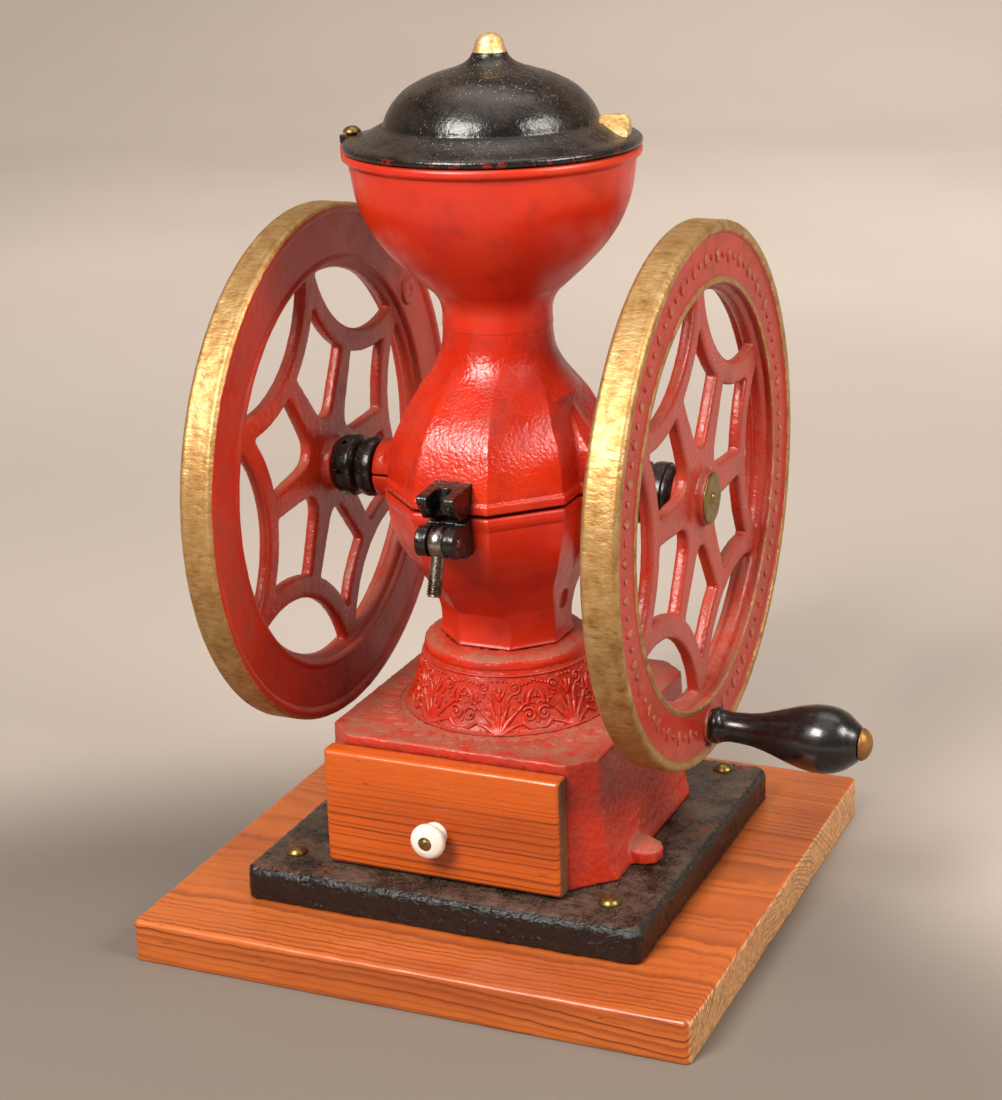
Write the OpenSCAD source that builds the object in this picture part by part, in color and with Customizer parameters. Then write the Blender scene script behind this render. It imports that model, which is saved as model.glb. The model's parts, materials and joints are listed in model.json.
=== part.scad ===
// Two-wheel counter coffee mill on a wooden board.
// X runs along the shaft towards the handle wheel, -Y faces the drawer, Z is up.
// The origin is on the underside of the board, below the axis of the column.

/* [Board and plate] */
// length of the wooden board along the shaft
board_w = 302; // [280:1:330]
// depth of the wooden board
board_d = 296; // [270:1:320]
// thickness of the wooden board
board_t = 22.8; // [18:0.1:30]
// length of the cast plate
plate_w = 219; // [200:1:240]
// depth of the cast plate
plate_d = 213; // [195:1:235]
// thickness of the cast plate
plate_t = 18.5; // [12:0.1:24]
// corner radius of the cast plate
plate_r = 7; // [4:1:30]

/* [Base and drawer] */
// height of the base casting above the plate
base_h = 69; // [60:0.5:80]
// half width of the base at its top
base_hw = 73.8; // [70:0.1:78]
// width of the drawer front
front_w = 130; // [120:1:136]
// height of the drawer front
front_h = 63; // [58:0.5:66]
// thickness of the drawer front
front_t = 10.4; // [6:0.1:12]
// diameter of the porcelain knob
knob_d = 18.8; // [16:0.1:24]

/* [Flywheels] */
// outer diameter of both flywheels
wheel_d = 273; // [260:1:280]
// width of the rims along the shaft
wheel_w = 18; // [14:0.5:20]
// inner radius of the rims
rim_in = 105.5; // [100:0.5:110]
// thickness of the pierced web
web_t = 6; // [4:0.5:9]
// turn of the right web about the shaft
right_phase = 30.5; // [0:0.5:60]
// turn of the left web about the shaft
left_phase = 37; // [0:0.5:60]

/* [Shaft and handle] */
// radius of the shaft
shaft_r = 8; // [6:0.1:8]
// distance of the handle from the shaft axis
handle_off = 121; // [118:0.5:123]
// length of the wooden grip
grip_l = 76.5; // [70:0.5:80]
// largest diameter of the wooden grip
grip_d = 34.7; // [28:0.1:36]

/* [Clearances] */
// radial clearance of parts that turn on a pin
run = 0.06; // [0.02:0.01:0.1]
// gap between parts that move apart
gap = 0.4; // [0.3:0.1:0.8]

/* [Hidden] */
$fn = 96;

top_board = board_t;
top_plate = board_t + plate_t;
top_base = top_plate + base_h;
zs = 231.6;
ring_z = 149.4;
neck_z = 313;
rim_z = 401.6;
xr = 104;
xl = -101.6;
front_y = -72.9;
back_y = 78.5;
drawer_x = -3.6;
tray_x = -1;
clamp_x = 1.6;
lug_y = -82;
lug_z = 223.3;
hinge_y = 74.5;
pivot_x = -71.5;
pivot_y = -10;
rest_bolt = 20;
handle_a = 270;
boss_end = 68;
screw_r = 5.5;
bore_r = shaft_r + 0.01;

c_wood = [0.72, 0.33, 0.14];
c_black = [0.06, 0.06, 0.06];
c_iron = [0.14, 0.13, 0.12];
c_red = [0.72, 0.10, 0.05];
c_gold = [0.80, 0.55, 0.22];
c_brass = [0.72, 0.52, 0.24];
c_steel = [0.45, 0.45, 0.44];
c_white = [0.93, 0.93, 0.90];

// half widths of the body by height: front to back, side to side, and across the corners
low_y = [[149.4, 29.2], [160, 29.6], [168, 32.2], [174, 37.6], [183, 46], [192, 53], [201, 58.8],
  [211, 63], [221, 64.6], [231.2, 64.8]];
low_x = [[149.4, 31.2], [162, 31.8], [172, 33], [183, 35.8], [197, 41.6], [212, 46], [222, 47.6],
  [231.2, 47.8]];
low_d = [[149.4, 30.2], [162, 31.2], [170, 33.6], [175, 36.6], [183, 41.4], [197, 51.6], [205, 55.6],
  [212, 58], [222, 59.6], [231.2, 59.8]];
up_y = [[232.6, 64.8], [240, 64.4], [248, 62.6], [255, 60.6], [264, 57], [272, 52], [281, 44.8],
  [287, 39.2], [293, 33.4], [299, 29.4], [303, 27.6]];
up_x = [[232.6, 47.8], [240, 47.6], [247, 46.8], [253, 46], [260, 44.4], [268, 41], [276, 37.8],
  [284, 34], [294, 29.6], [303, 27.2]];
up_d = [[232.6, 59.6], [240, 59.2], [247, 58.4], [254, 56.8], [262, 53.8], [270, 49.4], [277, 45.2],
  [285, 39], [293, 33.2], [303, 27.6]];

function both(p, cut) = concat([for (q = p) [q[1] - cut, q[0]]],
  [for (i = [len(p) - 1 : -1 : 0]) [cut - p[i][1], p[i][0]]]);

module rrect(w, d, r) {
  square([w - 2 * r, d], center = true);
  square([w, d - 2 * r], center = true);
  for (x = [-1, 1], y = [-1, 1]) translate([x * (w / 2 - r), y * (d / 2 - r)]) circle(r);
}

// a cylinder along X that starts at x0
module xcyl(x0, x1, r) {
  translate([x0, 0, 0]) rotate([0, 90, 0]) cylinder(r = r, h = x1 - x0);
}

// a solid of revolution about the shaft, from points (x, radius)
module xrev(p) {
  rotate([0, 90, 0]) rotate_extrude() polygon([for (q = p) [q[1], q[0]]]);
}

module along_x(l) {
  rotate([90, 0, 90]) linear_extrude(height = l, center = true) children();
}

module along_y(l) {
  rotate([90, 0, 0]) linear_extrude(height = l, center = true) children();
}

// the eight-sided body: four extruded outlines that cut each other
module body8(py, px, pd, cut) {
  intersection() {
    along_x(200) polygon(both(py, cut));
    along_y(240) polygon(both(px, cut));
    rotate([0, 0, 45]) along_x(240) polygon(both(pd, cut));
    rotate([0, 0, -45]) along_x(240) polygon(both(pd, cut));
  }
}

module band8(z0, z1, y, x, d) {
  translate([0, 0, z0]) linear_extrude(height = z1 - z0) intersection() {
    square([2 * x, 2 * y], center = true);
    rotate(45) square([2 * d, 2 * d], center = true);
  }
}

// ---------------------------------------------------------------- stand

module board_holes(r) {
  for (p = [[84.6, -76.4], [-90, -78], [87, 97], [-88, 96]])
    translate([p[0], p[1], top_plate - 36]) cylinder(r = r, h = 40);
}

module wood_board() {
  color(c_wood) difference() {
    translate([-1.6, 4.2, 0]) union() {
      linear_extrude(height = board_t - 0.8) rrect(board_w, board_d, 2);
      linear_extrude(height = board_t) rrect(board_w - 1.6, board_d - 1.6, 2);
    }
    board_holes(2.05);
  }
}

module sub_plate() {
  color(c_iron) difference() {
    translate([0, 4.8, top_board]) union() {
      linear_extrude(height = plate_t - 3.2) rrect(plate_w, plate_d, plate_r);
      linear_extrude(height = plate_t - 1.7) rrect(plate_w - 2, plate_d - 2, plate_r);
      linear_extrude(height = plate_t - 0.7) rrect(plate_w - 4.8, plate_d - 4.8, plate_r);
      linear_extrude(height = plate_t) rrect(plate_w - 8.6, plate_d - 8.6, plate_r - 1);
    }
    board_holes(2.1);
  }
}

// a dome-head screw, turned by the angle a
module plate_screw(x, y, a) {
  translate([x, y, top_plate]) rotate([0, 0, a]) rotate_extrude() polygon([[0, -34], [0.6, -33],
    [2, -29], [2, 0], [screw_r, 0], [screw_r + 0.1, 0.6], [screw_r - 0.4, 1.6], [screw_r - 1.4, 2.7],
    [screw_r - 2.8, 3.4], [1.4, 3.8], [0, 3.85]]);
}

module plate_screw_front_right() {
  color(c_brass) plate_screw(84.6, -76.4, 68);
}

module plate_screw_front_left() {
  color(c_brass) plate_screw(-90, -78, 95);
}

module plate_screw_back_right() {
  color(c_brass) plate_screw(87, 97, 60);
}

module plate_screw_back_left() {
  color(c_brass) plate_screw(-88, 96, 20);
}

module base_plan(cut) {
  polygon([[-60.5 + cut * 0.6, front_y + cut], [60.5 - cut * 0.6, front_y + cut],
    [82 - cut, -51.4 + cut * 0.6], [82 - cut, 57 - cut * 0.6], [60.5 - cut * 0.6, back_y - cut],
    [-60.5 + cut * 0.6, back_y - cut], [-82 + cut, 57 - cut * 0.6], [-82 + cut, -51.4 + cut * 0.6]]);
}

module base_side(cut, z0, z1) {
  w = base_hw - cut;
  polygon([[-w - 6.8, z0], [w + 6.8, z0], [w + 6, z0 + 3], [w + 4, z0 + 8], [w + 2.6, z0 + 15],
    [w + 1.4, z0 + 26], [w + 0.6, z0 + 42], [w, z1], [-w, z1], [-w - 0.6, z0 + 42],
    [-w - 1.4, z0 + 26], [-w - 2.6, z0 + 15], [-w - 4, z0 + 8], [-w - 6, z0 + 3]]);
}

module base_casting() {
  color(c_red) difference() {
    union() {
      intersection() {
        translate([0, 0, top_plate]) linear_extrude(height = base_h) base_plan(0);
        along_y(320) base_side(0, top_plate, top_base);
      }
      // rounded foot ears on both sides
      for (s = [-1, 1]) {
        translate([s * 83, -23, top_plate]) cylinder(r = 10, h = 7);
        translate([s * 83, -23, top_plate]) cylinder(r = 9.2, h = 7.6);
      }
      // bell and ring under the mill body
      translate([0, 0, top_base - 1]) rotate_extrude() polygon([[0, 0], [57, 0], [57, 1.6], [53.6, 2.2],
        [51.6, 4.5], [49.8, 9], [48.2, 14], [46.7, 20], [45.2, 26.5], [43.6, 31.4], [42.7, 32],
        [42.7, 32.8], [43.4, 33.4], [43.5, 36], [42.9, 37.8], [41.2, 39.2], [38.4, 39.9],
        [34, 40.09], [0, 40.09]]);
    }
    // drawer space, open to the front and below
    translate([0, 0, top_plate - 1]) linear_extrude(height = base_h - 4.5) difference() {
      base_plan(5.5);
      for (s = [-1, 1]) translate([s * 79, 0]) square([22, 300], center = true);
    }
    translate([tray_x, front_y, top_plate - 1 + 28.5]) cube([113, 40, 57], center = true);
    // passage for the ground coffee
    translate([0, 0, top_base - 8]) cylinder(r = 20, h = 60);
    // hollow below the bell
    translate([0, 0, top_base - 6]) cylinder(r1 = 44, r2 = 34, h = 28);
    // screw holes in the ears
    for (s = [-1, 1]) translate([s * 85, -23, top_plate - 1]) cylinder(r = 2.6, h = 4.5);
  }
}

module runner(s) {
  translate([tray_x + s * 49, 3, top_plate + 0.8]) cube([9, 140, 1.6], center = true);
}

module runner_right() {
  color(c_wood) runner(1);
}

module runner_left() {
  color(c_wood) runner(-1);
}

// pointed rib that carries a bearing boss, on the side s, above (u = 1) or below (u = -1) the shaft
module boss_rib(s, u) {
  intersection() {
    translate([s * 46, 0, zs]) mirror([0, 0, u < 0 ? 1 : 0]) along_x(40) polygon([[-14.5, 0],
      [14.5, 0], [14.2, 14], [12.6, 22], [9.6, 30], [5.4, 37.5], [0, 44], [-5.4, 37.5],
      [-9.6, 30], [-12.6, 22], [-14.2, 14]]);
    translate([0, 0, zs]) mirror([s < 0 ? 1 : 0, 0, 0]) mirror([0, 0, u < 0 ? 1 : 0]) along_y(60)
      polygon([[20, 0], [60, 0], [60, 13], [57, 16.5], [52, 24], [47, 30], [42, 37], [37, 46], [20, 46]]);
  }
}

module lower_shell() {
  z1 = zs - 0.6;
  color(c_red) difference() {
    union() {
      difference() {
        union() {
          body8(low_y, low_x, low_d, 0);
          band8(225, z1, 65.7, 48.7, 60.7);
          for (s = [-1, 1]) {
            mirror([s < 0 ? 1 : 0, 0, 0]) translate([0, 0, zs]) intersection() {
              xrev([[30, 0], [30, 15.7], [boss_end - 1.5, 15.7], [boss_end, 14.4], [boss_end, 0]]);
              translate([50, 0, -20.4]) cube([60, 60, 40], center = true);
            }
            intersection() {
              boss_rib(s, -1);
              translate([0, 0, zs - 50.4]) cube([200, 100, 100], center = true);
            }
          }
        }
        // hollow inside
        intersection() {
          body8(low_y, low_x, low_d, 5);
          translate([0, 0, 160 + 50]) cube([200, 200, 100], center = true);
        }
      }
      // trough, deck and half wall that carry the beans to the burrs
      intersection() {
        union() {
          translate([0, 0, zs]) xcyl(-46, 8, 24);
          translate([-18.5, 0, z1 - 2.5]) cube([53, 140, 5], center = true);
          translate([5.5, 0, z1 - 50]) cube([5, 140, 100], center = true);
        }
        body8(low_y, low_x, low_d, 2);
        translate([0, 0, z1 - 50]) cube([200, 200, 100], center = true);
      }
    }
    translate([0, 0, zs]) xcyl(-42.8, 9, 20);
    // bearings, split at the shaft
    translate([0, 0, zs]) xcyl(-80, 80, shaft_r + run);
    translate([0, 0, zs]) for (s = [-1, 1]) xcyl(s > 0 ? 66.4 : -69, s > 0 ? 69 : -66.4, shaft_r + 1);
    // way down to the drawer
    translate([0, 0, ring_z - 1]) cylinder(r = 20, h = 34);
    // round hole in the right side
    translate([20, -2, 170.5]) rotate([0, 90, 0]) cylinder(r = 5.2, h = 30);
    // burr screw holes
    for (a = [210, 270, 330]) translate([0, 47 * cos(a), zs + 47 * sin(a)]) xcyl(1, 9, 2.1);
  }
}

module fixed_burr() {
  color(c_steel) difference() {
    union() {
      translate([0, 0, zs]) xrev([[8.02, 21], [8.02, 54], [15, 54], [15, 50], [14, 48], [14, 21]]);
      for (a = [0 : 20 : 340]) translate([14, 0, zs]) rotate([a, 0, 0])
        translate([0.4, 35, 0]) rotate([12, 0, 0]) cube([2, 24, 2.2], center = true);
      for (a = [210, 270, 330]) translate([0, 47 * cos(a), zs + 47 * sin(a)]) xcyl(1.4, 9, 2);
    }
    translate([0, 0, zs]) xcyl(7, 18, 20.6);
  }
}

module clamp_bracket() {
  color(c_black) difference() {
    union() {
      for (t = [-1, 1]) translate([clamp_x, 0, 0]) {
        translate([0, lug_y, lug_z]) xcyl(t > 0 ? 4.4 : -10.2, t > 0 ? 10.2 : -4.4, 7.8);
        translate([t * 7.3, lug_y / 2 - 32.3, lug_z - 0.8]) cube([5.8, 18, 14], center = true);
      }
      translate([clamp_x, -69.4, 221.7]) cube([20.4, 8.6, 18], center = true);
    }
    translate([clamp_x, lug_y, lug_z]) xcyl(-4.4, 4.4, 8);
    translate([clamp_x, lug_y, lug_z]) xcyl(-20, 20, 2.43);
    intersection() {
      body8(low_y, low_x, low_d, -0.02);
      translate([0, 0, 200]) cube([100, 200, 100], center = true);
    }
    band8(225, 231, 65.72, 48.7, 60.7);
  }
}

module clamp_pin() {
  color(c_steel) translate([clamp_x, lug_y, lug_z]) xrev([[-10.8, 0], [-10.8, 1.8],
    [-10.2, 2.4], [10.2, 2.4], [10.8, 1.8], [10.8, 0]]);
}

module rear_hinge_bracket() {
  color(c_black) difference() {
    union() {
      for (s = [-1, 1]) {
        translate([0, hinge_y, zs]) xcyl(s > 0 ? 8.5 : -20, s > 0 ? 20 : -8.5, 5.6);
        translate([s * 14.25, 70, 222.6]) cube([11.5, 10.2, 13.8], center = true);
      }
      translate([0, 67.4, 220]) cube([40, 5, 12], center = true);
    }
    translate([0, hinge_y, zs]) xcyl(-30, 30, 2.53);
    body8(low_y, low_x, low_d, -0.02);
    band8(225, 231, 65.72, 48.7, 60.7);
  }
}

module rear_hinge_pin() {
  color(c_steel) translate([0, hinge_y, zs]) xrev([[-22.5, 0], [-22.5, 3], [-21.6, 4], [-20.1, 4],
    [-20.1, 2.5], [21, 2.5], [21.6, 1.9], [21.6, 0]]);
}

// ---------------------------------------------------------------- drawer

tray_z = top_plate + 2;
tray_y0 = front_y + 0.6;
tray_l = 138;

module drawer_front() {
  z0 = top_plate + 0.9;
  color(c_wood) difference() {
    translate([drawer_x, front_y - 0.4 - front_t, z0]) union() {
      translate([0, (front_t + 3) / 2, front_h / 2]) along_y(front_t - 3) rrect(front_w, front_h, 2.5);
      translate([0, 3.6, front_h / 2]) along_y(4) rrect(front_w - 1.2, front_h - 1.2, 3);
      translate([0, 2.8, front_h / 2]) along_y(4.4) rrect(front_w - 3.2, front_h - 3.2, 3);
      translate([0, 2.2, front_h / 2]) along_y(4.4) rrect(front_w - 5.6, front_h - 5.6, 3);
    }
    translate([-6.3, front_y, 67.7]) rotate([90, 0, 0]) cylinder(r = 1.8, h = 30, center = true);
  }
}

module drawer_side(s) {
  translate([tray_x + s * 52.7, tray_y0 + tray_l / 2 - 1, tray_z + 26]) cube([5, tray_l, 52], center = true);
}

module drawer_side_right() {
  color(c_wood) drawer_side(1);
}

module drawer_side_left() {
  color(c_wood) drawer_side(-1);
}

module drawer_back() {
  color(c_wood) translate([tray_x, tray_y0 + tray_l - 3.5, tray_z + 26]) cube([100.4, 5, 52], center = true);
}

module drawer_bottom() {
  color(c_wood) translate([tray_x, tray_y0 + tray_l / 2 - 3.5, tray_z + 2])
    cube([100.4, tray_l - 5, 4], center = true);
}

module drawer_knob() {
  y0 = front_y - 0.4 - front_t;
  color(c_white) translate([-6.3, y0, 67.7]) rotate([90, 0, 0]) difference() {
    rotate_extrude() polygon([[0, 0], [6.6, 0], [6.6, 1], [5.8, 2.2], [5.2, 3.6], [5.4, 5],
      [knob_d / 2 - 2.4, 6.4], [knob_d / 2 - 0.6, 7.6], [knob_d / 2, 9.2], [knob_d / 2 - 0.5, 10.9],
      [knob_d / 2 - 2.2, 12.4], [5, 13.2], [0, 13.4]]);
    translate([0, 0, -1]) cylinder(r = 1.85, h = 16);
    translate([0, 0, 12]) cylinder(r = 3.7, h = 4);
  }
}

module knob_screw() {
  y0 = front_y - 0.4 - front_t;
  color(c_brass) translate([-6.3, y0, 67.7]) rotate([90, 0, 0]) difference() {
    rotate_extrude() polygon([[0, -6], [1.75, -6], [1.75, 12.02], [3.4, 12.02], [3.3, 13.2],
      [2.6, 14.2], [1.4, 14.8], [0, 15]]);
    rotate([0, 0, 35]) translate([0, 0, 14.8]) cube([8, 0.8, 1.8], center = true);
  }
}

// ---------------------------------------------------------------- tilting top

module upper_shell() {
  z0 = zs + 1;
  zb = zs + 0.4;
  color(c_red) difference() {
    union() {
      difference() {
        union() {
          body8(up_y, up_x, up_d, 0);
          band8(z0, 237.6, 65.7, 48.7, 60.7);
          rotate_extrude() polygon([[0, 280], [41, 280], [35.6, 287], [31.6, 293], [29, 299],
            [27.9, 304], [27.8, neck_z], [0, neck_z]]);
          for (s = [-1, 1]) {
            mirror([s < 0 ? 1 : 0, 0, 0]) translate([0, 0, zs]) intersection() {
              xrev([[30, 0], [30, 15.7], [boss_end - 1.5, 15.7], [boss_end, 14.4], [boss_end, 0]]);
              translate([50, 0, 20.4]) cube([60, 60, 40], center = true);
            }
            intersection() {
              boss_rib(s, 1);
              translate([0, 0, zs + 50.4]) cube([200, 100, 100], center = true);
            }
          }
        }
        // hollow inside, open below
        translate([0, 0, -0.6]) body8(up_y, up_x, up_d, 5);
      }
      // half wall above the burrs
      intersection() {
        translate([4.6, 0, z0 + 24]) cube([4, 140, 48], center = true);
        body8(up_y, up_x, up_d, 2);
      }
    }
    translate([0, 0, 232.6 - 10]) cube([90, 110, 20], center = true);
    translate([0, 0, zs]) xcyl(0, 9, 22);
    translate([0, 0, zs]) xcyl(-80, 80, shaft_r + gap);
    translate([0, 0, zs]) for (s = [-1, 1]) xcyl(s > 0 ? 66.4 : -69, s > 0 ? 69 : -66.4, shaft_r + 1);
    translate([0, 0, 290]) cylinder(r = 22.5, h = 40);
  }
}

module hopper() {
  color(c_red) difference() {
    union() {
      rotate_extrude() polygon([[22.5, neck_z], [27.5, neck_z], [27.3, 321], [28.4, 326], [31.4, 330],
        [36.2, 334.4], [45.5, 343], [55, 353], [62.4, 364], [67.4, 376], [69.8, 388], [70.6, 396],
        [72, 396.4], [73.2, 397.4], [73.4, 399.4], [73.2, 400.8], [72.4, rim_z], [67.4, rim_z],
        [66.8, 396], [65.8, 388.6], [63.6, 377.6], [58.8, 366.6], [51.8, 356], [42.5, 346.4],
        [33.4, 338.2], [27.6, 332.8], [24.2, 328], [22.8, 322]]);
      // boss for the lid's pivot screw
      translate([pivot_x, pivot_y, 390]) cylinder(r = 6.3, h = rim_z - 390);
      translate([pivot_x, pivot_y, 390]) sphere(r = 6.3);
    }
    translate([pivot_x, pivot_y, 385]) cylinder(r = 2.5, h = 20);
    // keep the bowl clear of the boss
    translate([0, 0, 370]) rotate_extrude() polygon([[0, 0], [58, 0], [63.6, 7.6], [65.8, 18.6],
      [66.8, 26], [67.4, 40], [0, 40]]);
  }
}

module clamp_lug() {
  color(c_black) difference() {
    translate([clamp_x, 0, 0]) along_x(19.6) polygon([[-60, 233.4], [-78.4, 233.4], [-80, 234.4],
      [-86.2, 243], [-86.4, 245.4], [-85.4, 246.6], [-78, 247.2], [-68, 247.9], [-60, 248.2]]);
    translate([clamp_x, -83.5, 240]) cube([8.8, 13, 40], center = true);
    translate([clamp_x, -77, 240]) cylinder(r = 4.4, h = 40, center = true);
    body8(up_y, up_x, up_d, -0.02);
    band8(zs + 1, 237.6, 65.72, 48.7, 60.7);
    translate([0, 0, 240]) cube([60, 100, 60], center = true);
  }
}

module rear_hinge_lug() {
  color(c_black) difference() {
    union() {
      translate([0, hinge_y, zs]) xcyl(-8.1, 8.1, 5.6);
      translate([0, 70.2, 238.6]) cube([16.2, 9.8, 11], center = true);
      translate([0, 64, 241]) cube([16.2, 6, 11], center = true);
    }
    translate([0, hinge_y, zs]) xcyl(-30, 30, 2.5 + run);
    body8(up_y, up_x, up_d, -0.02);
    band8(zs + 1, 237.6, 65.72, 48.7, 60.7);
    translate([0, 58, zs]) cube([60, 16, 60], center = true);
  }
}

module lid_pivot_screw() {
  color(c_brass) translate([pivot_x, pivot_y, 0]) difference() {
    rotate_extrude() polygon([[0, 387], [2.48, 388], [2.48, 407.6], [4.6, 407.6], [4.6, 408],
      [4.1, 409.1], [3, 410], [1.6, 410.6], [0, 410.8]]);
    rotate([0, 0, 40]) translate([0, 0, 410.6]) cube([12, 1, 1.8], center = true);
  }
}

// ---------------------------------------------------------------- lid

module lid() {
  z = rim_z + gap;
  color(c_black) difference() {
    union() {
      rotate_extrude() polygon([[73.3, z], [73.6, z + 1.6], [73.2, z + 3], [72, z + 3.9],
        [67, z + 5.2], [62, z + 7.2], [57.4, z + 9.6], [54.6, z + 11.2], [53.8, z + 10.9],
        [53.4, z + 11.6], [52.6, z + 15], [50.4, z + 19.4], [46, z + 24.8], [39.4, z + 30],
        [31, z + 34], [23, z + 36.4], [16, z + 38.6], [11.6, z + 40.8], [9.2, z + 43.2],
        [8.2, z + 45.4], [0, z + 45.4], [0, z + 36.6], [8, z + 35.6], [22, z + 32.6], [30, z + 30.4],
        [38, z + 26.6], [43.6, z + 22.2], [47.6, z + 17.4], [50, z + 12.4], [50.6, z + 9.4],
        [56, z + 6], [62, z + 3.6], [68, z + 1.8], [71.6, z]]);
      translate([pivot_x, pivot_y, z]) cylinder(r = 6.3, h = 4.4);
    }
    translate([pivot_x, pivot_y, z - 1]) cylinder(r = 2.48 + run, h = 12);
  }
}

module lid_knob() {
  z = rim_z + gap + 45.42;
  color(c_gold) rotate_extrude() polygon([[0, z], [7.9, z], [7.2, z + 3], [6.4, z + 5.6],
    [5.4, z + 7.4], [3.6, z + 8.6], [1.6, z + 9], [0, z + 9]]);
}

module thumb_tab() {
  color(c_gold) rotate([0, 0, 10]) difference() {
    translate([49.6, 0, 411.6]) rotate([0, 106.6, 0]) rotate_extrude() polygon([[0, 0.4], [1.2, 0.6],
      [3.2, 2], [5.6, 4.6], [8, 8.6], [9.6, 13], [10, 17], [9.4, 20], [8, 22], [0, 22]]);
    translate([0, 0, 400]) rotate_extrude() polygon([[0, -20], [74, -20], [74, 4], [73.3, 4.9],
      [72, 5.92], [67, 7.22], [62, 9.22], [57.4, 11.62], [54.6, 13.22], [53.4, 13.6], [52.6, 17.02],
      [50.4, 21.42], [0, 21.42]]);
    translate([69.6, -20, 390]) cube([20, 40, 40]);
  }
}

// ---------------------------------------------------------------- swing bolt

module swing_bolt() {
  color(c_steel) translate([clamp_x, lug_y, lug_z]) rotate([-rest_bolt, 0, 0]) difference() {
    union() {
      xcyl(-4, 4, 7.2);
      translate([0, 0, -18.6]) cylinder(r = 3.5, h = 14);
      translate([0, 0, -27]) rotate_extrude() polygon([[0, 0], [3.2, 0], [3.8, 0.7], [3.4, 1.2],
        [3.8, 1.7], [3.4, 2.2], [3.8, 2.7], [3.4, 3.2], [3.8, 3.7], [3.4, 4.2], [3.8, 4.7],
        [3.4, 5.2], [3.8, 5.7], [3.4, 6.2], [3.8, 6.7], [3.4, 7.2], [3.8, 7.7], [3.5, 8.4],
        [3.5, 9], [0, 9]]);
    }
    xcyl(-6, 6, 2.4 + run);
  }
}

// ---------------------------------------------------------------- rotor

module shaft() {
  color(c_steel) difference() {
    translate([0, 0, zs]) xrev([[-107.6, 0], [-107.6, 7.4], [-107, shaft_r], [110, shaft_r],
      [110.6, 7.4], [110.6, 0]]);
    for (x = [xr, xl]) translate([x, 0, zs + shaft_r]) cube([16, 4, 4], center = true);
  }
}

module rim(xc, s, boss_a, boss_d, boss_r, hole) {
  h = wheel_w / 2;
  r = wheel_d / 2;
  translate([xc, 0, zs]) mirror([s < 0 ? 1 : 0, 0, 0]) difference() {
    union() {
      xrev([[-h, r - 1.8], [-h + 1.8, r], [h - 1.8, r], [h, r - 1.8], [h, r - 4.8], [h - 0.8, r - 5.6],
        [h - 1.8, r - 6], [h - 1.8, 109.4], [h - 1, 108.8], [h - 0.8, 107.4], [h - 1.2, 106],
        [h - 3, rim_in], [-h + 3, rim_in], [-h + 1.2, 106], [-h + 0.8, 107.4], [-h + 1, 108.8],
        [-h + 1.8, 109.4], [-h + 1.8, r - 6], [-h + 0.8, r - 5.6], [-h, r - 4.8]]);
      rotate([boss_a, 0, 0]) translate([0, boss_d, 0]) xcyl(-h + 0.6, h - 0.4, boss_r);
      // plain raised studs in place of lettering
      if (s > 0) for (i = [0 : 29]) rotate([i * 12 + 6 + boss_a, 0, 0]) translate([0, 119.4, 0])
        xcyl(h - 2, h - 1, 2.4, $fn = 24);
    }
    rotate([boss_a, 0, 0]) translate([0, boss_d, 0]) xcyl(hole, 20, 3.5);
  }
}

// outline of the pierced web; g narrows the bars for the raised middle layer
module web_outline(g) {
  difference() {
    circle(rim_in - 0.01);
    for (k = [0 : 5]) rotate(60 * k) {
      intersection() {
        circle(rim_in - 1.6 - g);
        translate([135, 0]) circle(62.6 + g);
      }
      rotate(30) difference() {
        polygon([[24.4 + g, 0], [24.9 + g, 3.2], [26.8 + g, 6.6 - g * 0.5], [30.4 + g, 9.6 - g * 0.6],
          [56.6, 26.4 - g], [66, 32 - g], [91, 14], [91, -14], [66, g - 32], [56.6, g - 26.4],
          [30.4 + g, g * 0.6 - 9.6], [26.8 + g, g * 0.5 - 6.6], [24.9 + g, -3.2]]);
        rotate(-30) translate([135, 0]) circle(73.2 + g);
        rotate(30) translate([135, 0]) circle(73.2 + g);
      }
    }
  }
}

module web(xc, s, phase) {
  h = wheel_w / 2;
  translate([xc, 0, zs]) mirror([s < 0 ? 1 : 0, 0, 0]) difference() {
    union() {
      rotate([phase - 30, 0, 0]) rotate([90, 0, 90]) linear_extrude(height = web_t - 2, center = true)
        web_outline(0);
      rotate([phase - 30, 0, 0]) rotate([90, 0, 90]) linear_extrude(height = web_t, center = true)
        web_outline(1);
      xrev([[-h + 0.2, 0], [-h + 0.2, 13], [-h + 0.8, 13.6], [-4.6, 13.8], [-3.6, 15.4], [-2.6, 20],
        [2.6, 20], [3.6, 15.4], [4.6, 13.8], [h - 1.4, 13.6], [h - 0.8, 13], [h - 0.8, 0]]);
    }
    xcyl(-20, 20, bore_r);
    translate([0, 0, shaft_r]) cube([40, 4, 4], center = true);
  }
}

module right_rim() {
  color(c_gold) rim(xr, 1, handle_a, handle_off, 9.6, -20);
}

module left_rim() {
  color(c_gold) rim(xl, -1, 38, 118.5, 7.6, -2);
}

module right_web() {
  color(c_red) web(xr, 1, right_phase);
}

module left_web() {
  color(c_red) web(xl, -1, left_phase);
}

module hub_cap(xc, s) {
  x0 = wheel_w / 2 - 0.78;
  translate([xc, 0, zs]) mirror([s < 0 ? 1 : 0, 0, 0]) xrev([[x0, 0], [x0, 13], [x0 + 0.7, 13],
    [x0 + 1.1, 12.4], [x0 + 1.1, 3.4], [x0 + 1.9, 3], [x0 + 2.3, 2], [x0 + 2.4, 0]]);
}

module right_hub_cap() {
  color(c_gold) hub_cap(xr, 1);
}

module left_hub_cap() {
  color(c_gold) hub_cap(xl, -1);
}

module key(xc) {
  translate([xc, 0, zs + shaft_r]) cube([15.8, 3.96, 3.96], center = true);
}

module right_key() {
  color(c_steel) key(xr);
}

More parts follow.
